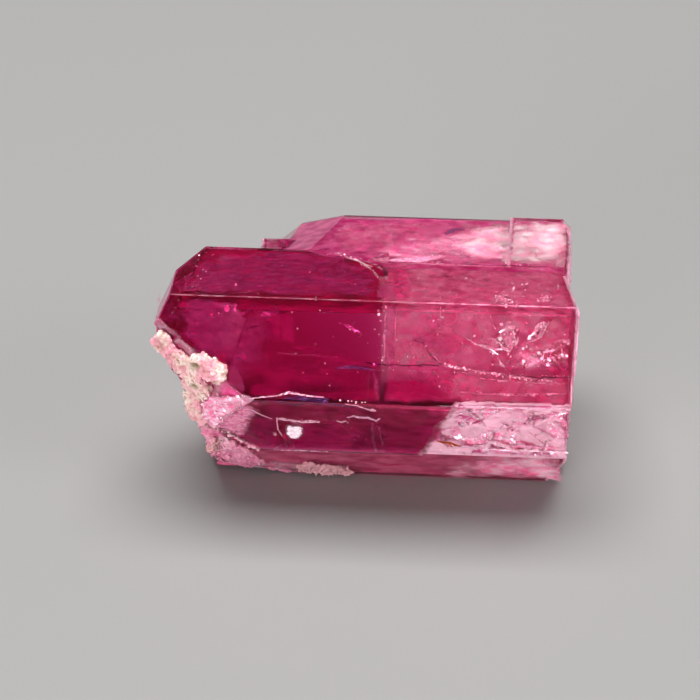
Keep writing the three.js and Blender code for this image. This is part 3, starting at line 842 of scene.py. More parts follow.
        ("low", [(-1.98, 0.1), (-1.72, 0.25), (-1.45, 0.18), (-1.45, -0.35), (-1.6, -0.75), (-1.9, -0.72),
         (-2.02, -0.4)], under(0.012, 0.12, ragged=0.04, relief=0.005)),
        ("low", ribbon([(-0.36, 0.58, 0.4), (-0.18, 0.68, 0.9), (-0.04, 0.6, 1.2), (0.18, 0.62, 1.0),
         (0.39, 0.46, 1.0), (0.49, 0.6, 0.6)], 0.08), under(-0.006, ragged=0.03, relief=0.001)),
        ("low", ribbon([(-2.04, -0.54, 0.5), (-1.99, -0.81, 1.0), (-1.95, -1.11, 0.5)], 0.07),
         under(0.012, ragged=0.02, relief=0.005)),
        ("low", ribbon([(-1.91, -0.57, 0.5), (-1.85, -0.87, 1.0), (-1.74, -1.11, 0.5)], 0.07),
         under(0.012, ragged=0.02, relief=0.005)),
        ("low", ribbon([(-2.07, -0.89, 0.4), (-2.15, -1.07, 1.0), (-2.29, -1.22, 0.5)], 0.06),
         under(0.012, ragged=0.02, relief=0.005)),
        ("low", ribbon([(-3.05, 0.96, 0.5), (-2.72, 0.76, 0.8), (-2.51, 0.55, 1.0), (-2.26, 0.37, 0.4)],
         0.05), under(-0.006, ragged=0.015, relief=0.001)),
        ("low", ribbon([(0.28, 0.34, 0.5), (0.27, -0.11, 1.0), (0.29, -0.64, 1.0), (0.36, -1.21, 0.8)],
         0.07), under(0.012, ragged=0.03, relief=0.005)),
        ("low", ribbon([(0.44, 0.13, 0.5), (0.48, -0.4, 0.8), (0.52, -0.85, 0.5)], 0.05),
         under(0.012, ragged=0.02, relief=0.005)),
        ("low", ribbon([(-0.58, 0.21, 0.5), (-0.39, -0.04, 0.8), (-0.29, -0.3, 1.0), (-0.09, -0.36, 0.7)],
         0.04), under(0.012, ragged=0.015, relief=0.005)),
        ("low", ribbon([(3.62, 0.43, 0.4), (3.48, 0.06, 1.2), (3.27, -0.02, 0.9), (3.05, -0.09, 0.4)],
         0.07), under(0.05, 0.03, ragged=0.03)),
        ("low", ribbon([(3.22, 1.05, 0.4), (3.36, 0.96, 1.2), (3.54, 0.8, 0.4)], 0.06),
         under(0.05, 0.03, ragged=0.03)),
        ("low", ribbon([(3.69, 1.0, 0.4), (3.91, 1.04, 1.0), (4.14, 0.98, 0.4)], 0.04), under(0.04)),
        ("low", ribbon([(2.34, 0.7, 0.4), (2.45, 0.9, 1.0), (2.7, 0.98, 1.0), (3.1, 1.02, 0.6)], 0.05),
         under(0.04, ragged=0.03)),
        ("low", ribbon([(2.48, 0.11, 0.4), (2.56, 0.43, 1.1), (2.71, 0.7, 1.0), (2.98, 0.88, 0.6)], 0.07),
         under(0.05, 0.03, ragged=0.03)),
        ("low", ribbon([(2.85, -0.5, 0.4), (3.03, -0.08, 1.2), (3.08, -0.48, 1.0), (3.1, -0.88, 0.4)],
         0.06), under(0.05, 0.03, ragged=0.03)),
        ("low", ribbon([(3.62, 0.5, 0.4), (3.9, 0.7, 1.0), (4.1, 0.6, 0.5)], 0.06), under(0.05, 0.03)),
        ("low", ribbon([(2.2, -0.85, 0.4), (2.6, -0.8, 1.2), (3.0, -0.92, 0.6)], 0.12),
         under(0.05, 0.05, ragged=0.04)),
    ],
    "mauveShade": [
        ("low", ribbon([(4.17, 0.65, 0.4), (4.39, 0.75, 1.2), (4.65, 0.84, 0.4)], 0.16),
         under(0.045, 0.05)),
        ("low", ribbon([(3.5, 0.55, 0.4), (3.75, 0.3, 1.0), (3.72, -0.05, 0.5)], 0.12), under(0.06, 0.05)),
        ("low", ribbon([(2.75, 0.3, 0.4), (3.0, 0.55, 1.0), (3.25, 0.65, 0.5)], 0.14), under(0.06, 0.05)),
        ("main", ribbon([(3.5, 0.45, 0.6), (3.6, 0.32, 1.0), (3.72, 0.34, 0.6)], 0.1), under(0.05, 0.03)),
        ("main", ribbon([(4.3, 0.52, 0.5), (4.42, 0.66, 1.0), (4.5, 0.76, 0.5)], 0.09), under(0.05, 0.03)),
        ("main", ribbon([(4.98, -0.16, 0.6), (5.1, -0.2, 1.0), (5.22, -0.17, 0.7)], 0.1),
         under(0.04, 0.03)),
        ("main", ribbon([(3.3, -0.12, 0.8), (3.38, -0.18, 0.8)], 0.07), under(0.04, 0.02)),
    ],
    # Painted reflection: the violet sheets along the lower main edge, the top of the low face and across
    # the lower middle of the main face; the last one is a violet spot.
    "violetSpotAndReflection": [
        ("main", ribbon([(-1.9, -1.22, 0.5), (-1.67, -1.2, 1.2), (-1.38, -1.22, 1.4), (-1.09, -1.24, 1.2),
         (-0.8, -1.23, 0.6)], 0.09), under(0.012, relief=0.004)),
        ("low", ribbon([(-2.76, 1.23, 0.4), (-1.96, 1.25, 0.8), (-1.61, 1.16, 1.2), (-1.39, 1.22, 1.0),
         (-0.6, 1.22, 1.0), (-0.1, 1.1, 0.8), (0.2, 0.9, 0.5)], 0.1),
         under(0.012, ragged=0.03, relief=0.005)),
        ("main", ribbon([(-0.62, -0.42, 0.5), (-0.25, -0.36, 1.2), (0.05, -0.4, 1.0), (0.35, -0.42, 0.6)],
         0.1), under(0.03, 0.03)),
        ("rearTop", ribbon([(1.85, 2.65), (2.1, 2.95), (2.4, 3.0)], 0.22), under(0.08, 0.1)),
    ],
    "darkFilm": [
        ("low", ribbon([(-3.0, 0.89, 0.4), (-2.8, 0.61, 1.0), (-2.63, 0.42, 1.2), (-2.35, 0.19, 0.5)],
         0.2), under(0.015, 0.04)),
        ("main", ribbon([(-3.27, 0.62), (-2.96, 0.5), (-2.54, 0.62)], 0.06), under(0.05, 0.03)),
        ("main", ribbon([(0.09, -0.26), (0.6, -0.3), (1.1, -0.28), (1.96, -0.25)], 0.03), under(0.02)),
        ("main", ribbon([(3.57, -0.44), (4.5, -0.48), (5.3, -0.45)], 0.03), under(0.02)),
        ("main", ribbon([(1.28, 0.36), (1.54, 0.28), (1.78, -0.04), (2.02, -0.24)], 0.03), under(0.01)),
    ],
    "magentaGlow": [
        ("main", ribbon([(-3.59, 1.09, 0.5), (-3.46, 1.01, 1.4), (-3.33, 0.89, 0.8)], 0.13), flashing),
        ("main", ribbon([(-3.3, 1.18, 0.8), (-3.23, 1.06, 1.2), (-3.24, 0.93, 0.6)], 0.1), flashing),
        ("main", ribbon([(-2.62, 0.87, 0.6), (-2.45, 0.88, 1.4), (-2.28, 0.9, 0.6)], 0.12), flashing),
        ("main", ribbon([(-3.92, 0.9, 0.6), (-3.79, 0.75, 1.0)], 0.12), flashing),
        ("main", ribbon([(-0.62, 0.75, 0.5), (-0.3, 0.62, 1.2), (0.0, 0.48, 0.6)], 0.09), flashing),
        ("main", ribbon([(0.2, -0.1, 0.5), (0.34, -0.3, 1.2), (0.45, -0.25, 0.6)], 0.08), flashing),
        ("top", ribbon([(-3.75, 0.06, 0.6), (-3.52, 0.05, 1.2), (-3.4, 0.07, 0.6)], 0.09), flashing),
        ("low", ribbon([(-1.4, 0.9, 0.4), (-0.9, 0.8, 1.2), (-0.3, 0.85, 0.6)], 0.2), under(0.03, 0.08)),
        ("low", ribbon([(-2.8, -0.1, 0.4), (-2.6, -0.5, 1.2), (-2.5, -0.9, 0.6)], 0.2), under(0.03, 0.08)),
    ],
    "surfaceCrack": [
        ("main", ribbon([(1.9, -1.28, 0.5), (3.0, -1.27, 1.0), (4.2, -1.26, 1.2), (5.25, -1.24, 0.8)],
         0.04), atSurface),
        ("main", ribbon([(-2.86, -1.28, 0.5), (-2.49, -1.21, 0.9), (-2.13, -1.17, 0.7),
         (-1.79, -1.07, 1.6), (-1.6, -1.1, 1.0), (-1.37, -1.13, 0.8), (-0.91, -1.17, 0.6)], 0.04),
         atSurface),
        ("low", ribbon([(-0.37, 1.28, 0.5), (-0.16, 1.25, 0.8), (0.05, 1.15, 1.2), (0.19, 1.05, 1.0),
         (0.39, 1.01, 0.7)], 0.06), atSurface),
        ("low", ribbon([(0.22, 1.04, 0.5), (0.3, 1.02, 1.4), (0.39, 0.99, 0.5)], 0.1), atSurface),
        ("low", ribbon([(-2.16, 0.41, 0.8), (-2.01, 0.39, 1.4), (-1.83, 0.34, 1.0), (-1.5, 0.27, 1.2),
         (-1.28, 0.32, 1.6), (-1.06, 0.3, 0.8)], 0.09), atSurface),
        ("low", ribbon([(-0.61, 0.39, 0.6), (-0.5, 0.32, 1.4), (-0.37, 0.42, 1.2), (-0.33, 0.3, 0.5)],
         0.05), atSurface),
        ("low", ribbon([(-2.14, 0.36), (-2.15, -0.06), (-2.1, -0.34), (-2.05, -0.52, 0.6)], 0.035),
         atSurface),
        ("low", ribbon([(-2.24, -0.35), (-2.23, -0.52)], 0.07), atSurface),
        ("low", ribbon([(-2.3, -1.27, 0.5), (-1.6, -1.26, 1.0), (-0.9, -1.27, 0.6)], 0.04), atSurface),
        ("low", ribbon([(4.95, 0.6, 0.5), (5.05, 0.3, 1.2), (5.1, -0.3, 1.0), (5.15, -0.5, 0.5)], 0.2),
         {**atSurface, "fade": 0.06}),
    ],
    "whiteHaze": [
        ("rearTop", [(3.6, 3.36), (5.15, 3.36), (5.15, 1.12), (4.4, 1.2), (3.6, 2.0)],
         {**atSurface, "depth": -0.079, "fade": 0.6}),
        ("rearTop", [(1.9, 1.9), (2.4, 3.0), (3.53, 3.3), (3.53, 1.3), (2.9, 1.2)],
         {**atSurface, "fade": 0.6}),
    ],
    "crimsonGlow": [
        ("low", [(-2.9, 0.9), (-2.3, 1.24), (2.2, 1.24), (2.2, 0.6), (1.95, -0.4), (1.7, -1.22),
         (-2.2, -1.22), (-3.0, -0.4)], {**atSurface, "depth": -0.003, "fade": 0.25, "relief": 0.0}),
    ],
    # A painted highlight: a white sheet just outside the low face where light glints off it.
    "paintedGlint": [
        ("low", [(-1.92, -0.08), (-1.86, 0.11), (-1.73, 0.01), (-1.59, 0.07), (-1.5, -0.05),
         (-1.53, -0.39), (-1.67, -0.65), (-1.84, -0.61), (-1.94, -0.39)], {**atSurface, "fade": 0.03}),
    ],
    "rimFrost": [
        ("rearLow", [(1.8, -3.3), (5.12, -3.3), (5.12, -1.75), (3.6, -1.75), (2.4, -2.3)],
         {**atSurface, "fade": 0.9}),
        ("rearLow", [(3.6, -3.3), (5.12, -3.3), (5.12, -2.2), (4.4, -2.2)],
         {**atSurface, "depth": -0.012, "fade": 0.5}),
    ],
    "rust": [
        ("low", ribbon([(1.92, -0.46, 0.6), (2.1, -0.56, 1.2), (2.25, -0.54, 0.8), (2.4, -0.68, 1.1),
         (2.54, -0.7, 0.6)], 0.085), under(-0.012, ragged=0.012, relief=0.003)),
        ("low", ribbon([(2.2, -0.54), (2.3, -0.76)], 0.035), under(-0.012, ragged=0.005, relief=0.003)),
    ],
}


# Conchoidal crack steps: short curved ribbons that lean into the light, so that they flash.
crackSteps = {
    "seed": 5,
    "lean": (0.9, 1.9),
    "fields": [  # face, area, how many, lengths, widths and main direction in degrees
        ("low", box(2.3, -1.1, 5.1, 0.9), 16, (0.15, 0.5), (0.015, 0.05), 28),
        ("low", box(-4.0, -0.2, -2.9, 1.3), 12, (0.2, 0.6), (0.03, 0.1), -50),
        ("main", box(3.2, -0.1, 5.1, 1.05), 14, (0.1, 0.3), (0.012, 0.04), 35),
        ("main", box(0.8, -0.2, 3.2, 1.1), 12, (0.12, 0.4), (0.015, 0.05), 60),
        ("main", box(1.9, -1.1, 5.2, -0.5), 12, (0.3, 0.9), (0.02, 0.06), 2),
        ("top", box(3.2, -1.15, 4.9, 0.1), 16, (0.12, 0.4), (0.03, 0.1), 70),
        ("top", box(0.8, -1.1, 3.2, 0.3), 10, (0.12, 0.35), (0.012, 0.03), 65),
        ("main", box(-4.1, 0.3, -2.9, 1.2), 12, (0.08, 0.3), (0.015, 0.05), 60),
        ("main", box(-0.4, -0.9, 0.35, 1.1), 9, (0.1, 0.35), (0.012, 0.04), 50),
        ("top", box(-0.5, -1.15, 0.2, -0.2), 6, (0.08, 0.25), (0.012, 0.035), 30),
        ("rearTop", box(1.0, 1.1, 3.6, 2.4), 14, (0.15, 0.5), (0.02, 0.06), 15),
    ],
}


def addCrackSteps(work):
    random.seed(crackSteps["seed"])
    for face, area, count, lengths, widths, direction in crackSteps["fields"]:
        low, high = area[0], area[2]
        for i in range(count):
            x = random.uniform(low[0], high[0])
            up = random.uniform(low[1], high[1])
            length = random.uniform(*lengths)
            turn = math.radians(direction + random.uniform(-30, 30))
            bend = random.uniform(-0.6, 0.6)
            points = []
            for j in range(6):
                share = j / 5 - 0.5
                points.append((x + math.cos(turn) * share * length, up + math.sin(turn) * share * length,
                               1.15 - 4 * share * share))
                turn += bend / 5
            lean = (random.uniform(-0.5, 0.5), random.uniform(*crackSteps["lean"]))
            if face in ("top", "rearTop"):
                lean = (lean[0], -lean[1] * 0.4)
            sheet(work, face, ribbon(points, random.uniform(*widths)), depth=random.uniform(0.06, 0.2),
                  ragged=0.012, relief=0.01, lean=lean, fade=0.03)


def isLeftGrowthFace(spot, normal):
    return normal.x < -0.6 and normal.z > 0.15 and spot.z > 0.3 and spot.x < -4


def isRearCorner(spot, normal):
    return normal.x < -0.25 and normal.z > 0.5 and spot.y > 1.2 and spot.z > 0.5


def isGlassyBreak(spot, normal):
    return normal.x < -0.6 and normal.z < 0 and spot.y < -1.2


def isRightEnd(spot, normal):
    return normal.x > 0.7 and spot.x > 4.8


# The end faces that `chosen` picks, a little smaller, as thin closed sheets `depth` mm inside.
def addEndVeil(work, depth, chosen):
    layer = work.verts.layers.float["fade"]
    shell = cleanCadCopy("red_beryl_crystal")
    for face in shell.faces:
        middle = face.calc_center_median()
        if chosen(middle / mm - frontAxis, face.normal):
            corners = [middle.lerp(v.co, 0.98) - face.normal * depth * mm for v in face.verts]
            outer = [work.verts.new(c) for c in corners]
            inner = [work.verts.new(c - face.normal * sheetThickness * mm) for c in corners]
            for vert in outer + inner:
                vert[layer] = 1.0
            work.faces.new(outer)
            work.faces.new(inner[::-1])
            for i in range(len(outer)):
                j = (i + 1) % len(outer)
                work.faces.new((outer[j], outer[i], inner[i], inner[j]))
    shell.free()


endVeils = {
    "lilacHaze": (0.03, isLeftGrowthFace),
    "roseHaze": (0.03, isGlassyBreak),
    "magentaVeil": (0.05, isRearCorner),
    "breakVeil": (0.07, isRightEnd),
}


def buildInclusions(kind):
    work = bmesh.new()
    work.verts.layers.float.new("fade")
    for face, outline, extra in inclusions[kind]:
        sheet(work, face, outline, **extra)
    if kind == "whiteBreak":
        addCrackSteps(work)
    if kind in endVeils:
        addEndVeil(work, *endVeils[kind])
    print("inclusion", kind, len(work.faces))
    return work


for kind in inclusions:
    newPiece("inclusion_" + kind, buildInclusions(kind), inclusionMaterial(kind))
print("inclusions made")


# A node tree that spreads small faceted bodies over the mesh that it is given. Densities are per
# square metre and sizes in metres. The bodies are beads, crumbs, flat splinters turned any
# way, or flakes that lie within half a radian of the mesh.
def scatterTree(name, material, kind):
    tree = bpy.data.node_groups.new(name, "GeometryNodeTree")
    tree.interface.new_socket("Geometry", in_out="INPUT", socket_type="NodeSocketGeometry")
    for label in ("Density", "Smallest", "Largest", "Spread"):
        tree.interface.new_socket(label, in_out="INPUT", socket_type="NodeSocketFloat")
    tree.interface.new_socket("Seed", in_out="INPUT", socket_type="NodeSocketInt")
    tree.interface.new_socket("Geometry", in_out="OUTPUT", socket_type="NodeSocketGeometry")
    given = addNode(tree, "NodeGroupInput")
    result = addNode(tree, "NodeGroupOutput")
    points = addNode(tree, "GeometryNodeDistributePointsOnFaces", None, Mesh=given.outputs["Geometry"],
                     Density=given.outputs["Density"], Seed=given.outputs["Seed"])
    rise = addNode(tree, "FunctionNodeRandomValue", {"data_type": "FLOAT", 2: -1.0, 3: 1.0, "Seed": 3})
    lift = addNode(tree, "ShaderNodeMath", {"operation": "MULTIPLY"}, _0=rise.outputs[1],
                   _1=given.outputs["Spread"])
    offset = addNode(tree, "ShaderNodeVectorMath", {"operation": "SCALE"}, Vector=points.outputs["Normal"],
                     Scale=lift.outputs[0])
    moved = addNode(tree, "GeometryNodeSetPosition", None, Geometry=points.outputs["Points"],
                    Offset=offset.outputs[0])
    if kind == "splinter":
        body = addNode(tree, "GeometryNodeMeshCylinder", {"Vertices": 4, "Depth": 0.12})
    elif kind == "crumb":
        body = addNode(tree, "GeometryNodeMeshCube", {"Size": (1.5, 1.5, 1.5)})
    elif kind == "flake":
        body = addNode(tree, "GeometryNodeMeshCylinder", {"Vertices": 5, "Depth": 0.08})
    else:
        body = addNode(tree, "GeometryNodeMeshIcoSphere", {"Subdivisions": 1})
    least, most = (0, 0, 0), (6.28, 6.28, 6.28)
    if kind == "flake":
        least, most = (-0.5, -0.5, 0), (0.5, 0.5, 6.28)
    turn = addNode(tree, "FunctionNodeRandomValue",
                   {"data_type": "FLOAT_VECTOR", 0: least, 1: most, "Seed": 5})
    rotation = turn.outputs[0]
    if kind == "flake":
        tilted = addNode(tree, "FunctionNodeRotateRotation", {"rotation_space": "LOCAL"},
                         Rotation=points.outputs["Rotation"], Rotate_By=rotation)
        rotation = tilted.outputs[0]
    size = addNode(tree, "FunctionNodeRandomValue", {"data_type": "FLOAT", "Seed": 7},
                   _2=given.outputs["Smallest"], _3=given.outputs["Largest"])
    aspect = addNode(tree, "FunctionNodeRandomValue",
                     {"data_type": "FLOAT_VECTOR", 0: (0.5, 0.5, 0.5), 1: (1, 1, 1), "Seed": 11})
    scale = addNode(tree, "ShaderNodeVectorMath", {"operation": "SCALE"}, Vector=aspect.outputs[0],
                    Scale=size.outputs[1])
    copies = addNode(tree, "GeometryNodeInstanceOnPoints", None, Points=moved.outputs[0],
                     Instance=body.outputs["Mesh"], Rotation=rotation, Scale=scale.outputs[0])
    real = addNode(tree, "GeometryNodeRealizeInstances", None, Geometry=copies.outputs[0])
    finished = addNode(tree, "GeometryNodeSetMaterial", {"Material": material}, Geometry=real.outputs[0])
    tree.links.new(finished.outputs[0], result.inputs[0])
    return tree


# Runs a node tree over a mesh with the values given by name, and returns what it makes.
def throughTree(ground, tree, values):
    body = scratchObject(ground)
    modifier = body.modifiers.new("scatter", "NODES")
    modifier.node_group = tree
    for socket in tree.interface.items_tree:
        if socket.in_out == "INPUT" and socket.name in values:
            modifier[socket.identifier] = values[socket.name]
    made = evaluatedMesh(body)
    bpy.data.objects.remove(body)
    work = bmesh.new()
    work.from_mesh(made)
    return work


def scatter(name, ground, look, material, slot="beryl"):
    values = {
        "Density": look["perSquareMm"] / (mm * mm),
        "Smallest": look["sizes"][0] * mm,
        "Largest": look["sizes"][1] * mm,
        "Spread": look["spread"] * mm,
        "Seed": look["seed"],
    }
    work = throughTree(ground, scatterTree(name, material, look["kind"]), values)
    print(name, len(work.faces))
    return newPiece(name, work, material)


# Flat patches on prism faces, for splinters to spread around.
def patches(outlines, depth):
    work = bmesh.new()
    for face, outline in outlines:
        work.faces.new([work.verts.new(onFace(face, x, u, depth)) for x, u in outline])
    return work


# Little air-filled cracks flash pink-white where they turn the light.
def glintMaterial(name, first, second, metallic):
    material, tree = newMaterial("beryl_" + name)
    out = addNode(tree, "ShaderNodeOutputMaterial")
    coords = addNode(tree, "ShaderNodeTexCoord")
    tint = addNode(tree, "ShaderNodeTexNoise", {"Scale": 6000.0, "Detail": 3.0},
                   Vector=coords.outputs["Object"])
    colour = colourRamp(tree, tint.outputs["Fac"], [(0.4, first), (0.6, second)])
    face = addNode(tree, "ShaderNodeBsdfPrincipled", {"Roughness": 0.3, "Metallic": metallic},
                   Base_Color=colour)
    tree.links.new(face.outputs[0], out.inputs["Surface"])
    return material


# Sizes, spread and the depth under the faces are in mm.
def scatterField(kind, seed, depth, perSquareMm, sizes, spread, *outlines):
    return {"kind": kind, "seed": seed, "depth": depth, "perSquareMm": perSquareMm, "sizes": sizes,
            "spread": spread, "outlines": outlines}


splinterFields = {
    "splinters_growth_band": scatterField("splinter", 3, 0.08, 26.0, (0.01, 0.035), 0.06,
        ("main", box(0.32, -1.2, 0.54, 1.21)),
        ("top", ribbon([(0.5, -1.2), (0.3, -0.2)], 0.2))),
    "splinters_right": scatterField("splinter", 7, 0.05, 70.0, (0.015, 0.065), 0.04,
        ("top", [(3.3, -1.25), (3.33, -0.3), (3.65, -0.7), (3.9, -1.25)]),
        ("top", [(4.31, -0.91), (4.38, -0.65), (4.68, -0.52), (4.71, -0.88), (4.44, -1.11)]),
        ("top", [(3.93, 0.11), (4.1, 0.0), (4.04, -0.51), (3.93, -0.4)]),
        ("main", [(3.33, 0.8), (3.65, 0.95), (3.9, 0.82), (3.97, 0.32), (3.73, 0.0), (3.4, 0.2),
         (3.29, 0.55)]),
        ("main", [(4.2, 0.6), (4.45, 0.98), (4.72, 0.98), (4.62, 0.59)]),
        ("main", [(4.2, 0.1), (5.1, 0.4), (5.2, -0.1), (4.3, -0.3)])),
    "splinters_right_sparse": scatterField("splinter", 11, 0.2, 5.0, (0.012, 0.05), 0.15,
        ("main", box(0.6, -1.2, 5.2, 1.2)),
        ("top", [(0.6, -1.2), (5.1, -1.2), (4.9, 0.5), (1.0, 0.5)])),
    "splinters_split": scatterField("splinter", 13, 0.22, 30.0, (0.02, 0.09), 0.14,
        ("low", [(2.3, 0.4), (2.7, 1.0), (5.2, 1.05), (5.2, -1.25), (1.8, -1.25), (2.1, -0.2)])),
    "splinters_lower_left": scatterField("splinter", 17, 0.1, 40.0, (0.02, 0.09), 0.08,
        ("low", [(-4.1, 0.9), (-3.8, 1.3), (-3.12, 1.39), (-2.8, 1.1), (-2.98, 0.36), (-3.77, -0.3),
         (-4.1, 0.1)])),
    "splinters_left": scatterField("splinter", 19, 0.1, 7.0, (0.012, 0.045), 0.08,
        ("main", [(-4.3, 1.2), (-3.0, 1.2), (-2.9, 0.6), (-3.4, 0.1), (-4.2, 0.2)]),
        ("top", [(-4.6, -1.1), (-4.0, 0.4), (-3.2, 0.2), (-2.4, -0.9)])),
    "specks_deep_zone": scatterField("bead", 23, 0.1, 1.6, (0.01, 0.03), 0.08,
        ("main", box(-2.6, -1.1, 0.2, 1.15)),
        ("top", box(-3.6, -1.1, 0.0, 0.8))),
    "crack_beads": scatterField("bead", 29, 0.03, 180.0, (0.012, 0.034), 0.015,
        ("low", ribbon([(-0.5, 1.4), (0.15, 1.3)], 0.08)),
        ("low", ribbon([(-1.55, 0.38), (-1.0, 0.34), (-0.55, 0.42)], 0.07))),
    "crack_beads_right": scatterField("bead", 47, 0.03, 240.0, (0.018, 0.045), 0.02,
        ("main", ribbon([(2.04, -0.2, 0.6), (2.29, -0.29), (2.74, -0.35, 1.2), (3.25, -0.43, 1.2),
         (3.75, -0.49), (4.25, -0.55, 0.7), (4.63, -0.53, 0.5)], 0.07))),
    "specks_left_end": scatterField("splinter", 53, 0.05, 14.0, (0.01, 0.032), 0.03,
        ("top", [(-4.8, -1.2), (-4.85, 0.0), (-4.3, 1.2), (-3.9, 1.2), (-4.2, -0.2), (-4.1, -1.2)]),
        ("main", [(-5.1, 1.2), (-4.2, 1.2), (-4.3, 0.2), (-4.9, 0.8)])),
    "crumbs_along_prism_step": scatterField("flake", 83, 0.0, 420.0, (0.005, 0.026), 0.01,
        ("rearTop", ribbon([(0.07, 0.98, 0.5), (0.42, 0.94, 1.2), (0.79, 1.03, 1.2), (1.17, 1.16, 1.3),
         (1.55, 1.35, 0.8), (1.93, 1.43, 0.5)], 0.26)),
        ("rearTop", ribbon([(2.1, 2.05, 0.5), (2.4, 1.95, 1.2), (2.69, 1.92, 0.6)], 0.14)),
        ("rearTop", ribbon([(3.36, 1.21, 0.4), (3.88, 0.98), (4.39, 0.95), (5.03, 1.0, 0.6)], 0.08)),
        ("top", ribbon([(-0.9, 1.2, 0.5), (-0.63, 1.08, 0.9), (-0.33, 0.83, 1.2), (-0.05, 0.53),
         (0.17, 0.22, 0.6), (0.35, -0.19, 0.3)], 0.1)),
        ("low", ribbon([(-1.5, 0.29), (-1.28, 0.34, 1.4), (-1.06, 0.28, 0.8)], 0.12)),
        ("low", ribbon([(-2.16, 0.41), (-1.83, 0.36), (-1.5, 0.29)], 0.06))),
}
flakeFields = {
    "flakes_fractured_zone": scatterField("flake", 59, 0.07, 46.0, (0.02, 0.075), 0.05,
        ("main", [(3.4, 0.45), (3.46, 0.62), (3.68, 0.84), (3.82, 0.76), (3.88, 0.42), (3.74, 0.12),
         (3.5, 0.18)]),
        ("main", [(4.15, 0.44), (4.3, 0.68), (4.4, 0.9), (4.68, 0.92), (4.62, 0.68), (4.45, 0.46)]),
        ("main", [(4.0, -0.25), (3.95, 0.2), (4.2, 0.4), (4.6, 0.3), (5.2, 0.5), (5.24, 0.2), (5.0, -0.1),
         (4.4, -0.22)]),
        ("main", ribbon([(2.6, 0.44, 0.5), (3.0, 0.28, 1.0), (3.4, 0.1, 0.8)], 0.1)),
        ("top", [(3.24, -1.2), (3.28, -0.85), (3.4, -0.62), (3.62, -0.86), (3.78, -1.2)]),
        ("top", [(4.36, -1.04), (4.4, -0.78), (4.56, -0.66), (4.72, -0.76), (4.66, -1.05)])),
    "flakes_split": scatterField("flake", 61, 0.2, 22.0, (0.03, 0.11), 0.06,
        ("low", [(2.3, 0.3), (2.7, 0.9), (5.2, 1.0), (5.2, -1.2), (2.0, -1.2), (2.2, -0.2)])),
    "flakes_zone_end": scatterField("flake", 67, 0.07, 22.0, (0.012, 0.05), 0.04,
        ("main", box(0.3, -0.3, 0.52, 1.15)),
        ("main", [(-0.6, 0.7), (-0.3, 0.62), (0.2, 0.35), (0.3, 0.1), (-0.1, 0.3)]),
        ("top", [(-0.5, -0.25), (-0.15, -0.3), (-0.15, -0.9), (-0.4, -0.8)]),
        ("low", box(-0.3, -0.9, 0.6, 0.6))),
    "flakes_ledge": scatterField("flake", 71, 0.04, 50.0, (0.015, 0.05), 0.03,
        ("top", ribbon([(-1.2, 1.14), (-0.5, 1.0), (0.1, 0.75), (0.45, 0.3)], 0.14)),
        ("rearTop", ribbon([(0.5, 1.0), (1.0, 1.0), (1.5, 1.05), (1.8, 1.2)], 0.3)),
        ("rearTop", ribbon([(2.1, 1.95), (2.6, 2.05), (3.0, 1.85)], 0.2))),
    # a thin sparkle under the glint
    "flakes_white_glint": scatterField("flake", 43, 0.04, 60.0, (0.03, 0.08), 0.02,
        ("low", [(-1.93, 0.12), (-1.72, 0.24), (-1.5, 0.2), (-1.44, -0.1), (-1.56, -0.42), (-1.74, -0.56),
         (-1.88, -0.3)])),
    "flakes_left": scatterField("flake", 73, 0.06, 16.0, (0.015, 0.05), 0.04,
        ("main", ribbon([(-3.62, 1.12), (-3.48, 1.02), (-3.36, 0.9)], 0.12)),
        ("main", ribbon([(-3.0, 1.06), (-2.86, 0.95), (-2.72, 0.86)], 0.1)),
        ("top", [(-4.7, 0.2), (-4.3, 1.1), (-4.0, 0.9), (-4.1, -0.3), (-4.2, -1.1), (-4.6, -1.1)])),
}
flakeFinish = glintMaterial("air_filled_flakes", "#FFA8CC", "#FFF4FA", 0.75)
for name, field in flakeFields.items():
    scatter(name, patches(field["outlines"], field["depth"]), field, flakeFinish)
splinterFinish = glintMaterial("air_filled_splinters", "#FFB0CE", "#FFF4FA", 0.0)
for name, field in splinterFields.items():
    scatter(name, patches(field["outlines"], field["depth"]), field, splinterFinish)
print("splinters made")


# Weathered rhyolite: a dull, crumbly cream rock with pink beryl crumbs and olive-brown pits.
crustLook = {
    "stone": "#F2E2D8",
    "shade": "#D2A69C",
    "berylCrumbs": "#F0A0B8",
    # painted shade in the crevices between crumbs
    "hollowShade": "#BC8078",
    "pit": "#7A6A42",
    "pinkBelow": (2.65, 3.1),  # mm above the ground, where the crust turns to beryl crumbs
    "shadeNearFloor": "#B47C84",
    "shadedBelow": (0.45, 1.1),  # mm above the ground, where it darkens: painted shade near the floor
    "through": 0.2,  # share of light that passes through the crumbs
    "voxel": 0.028,  # mm
    "lump": 0.4,  # mm across
    "lumpRelief": 0.1,  # mm
    "crumb": 0.13,  # mm across
    "relief": 0.07,  # mm
    "pits": [(-4.19, -2.2, 0.72), (-4.24, -2.0, 0.0)],  # from the front axis
    "pitSize": 0.16,  # mm
}


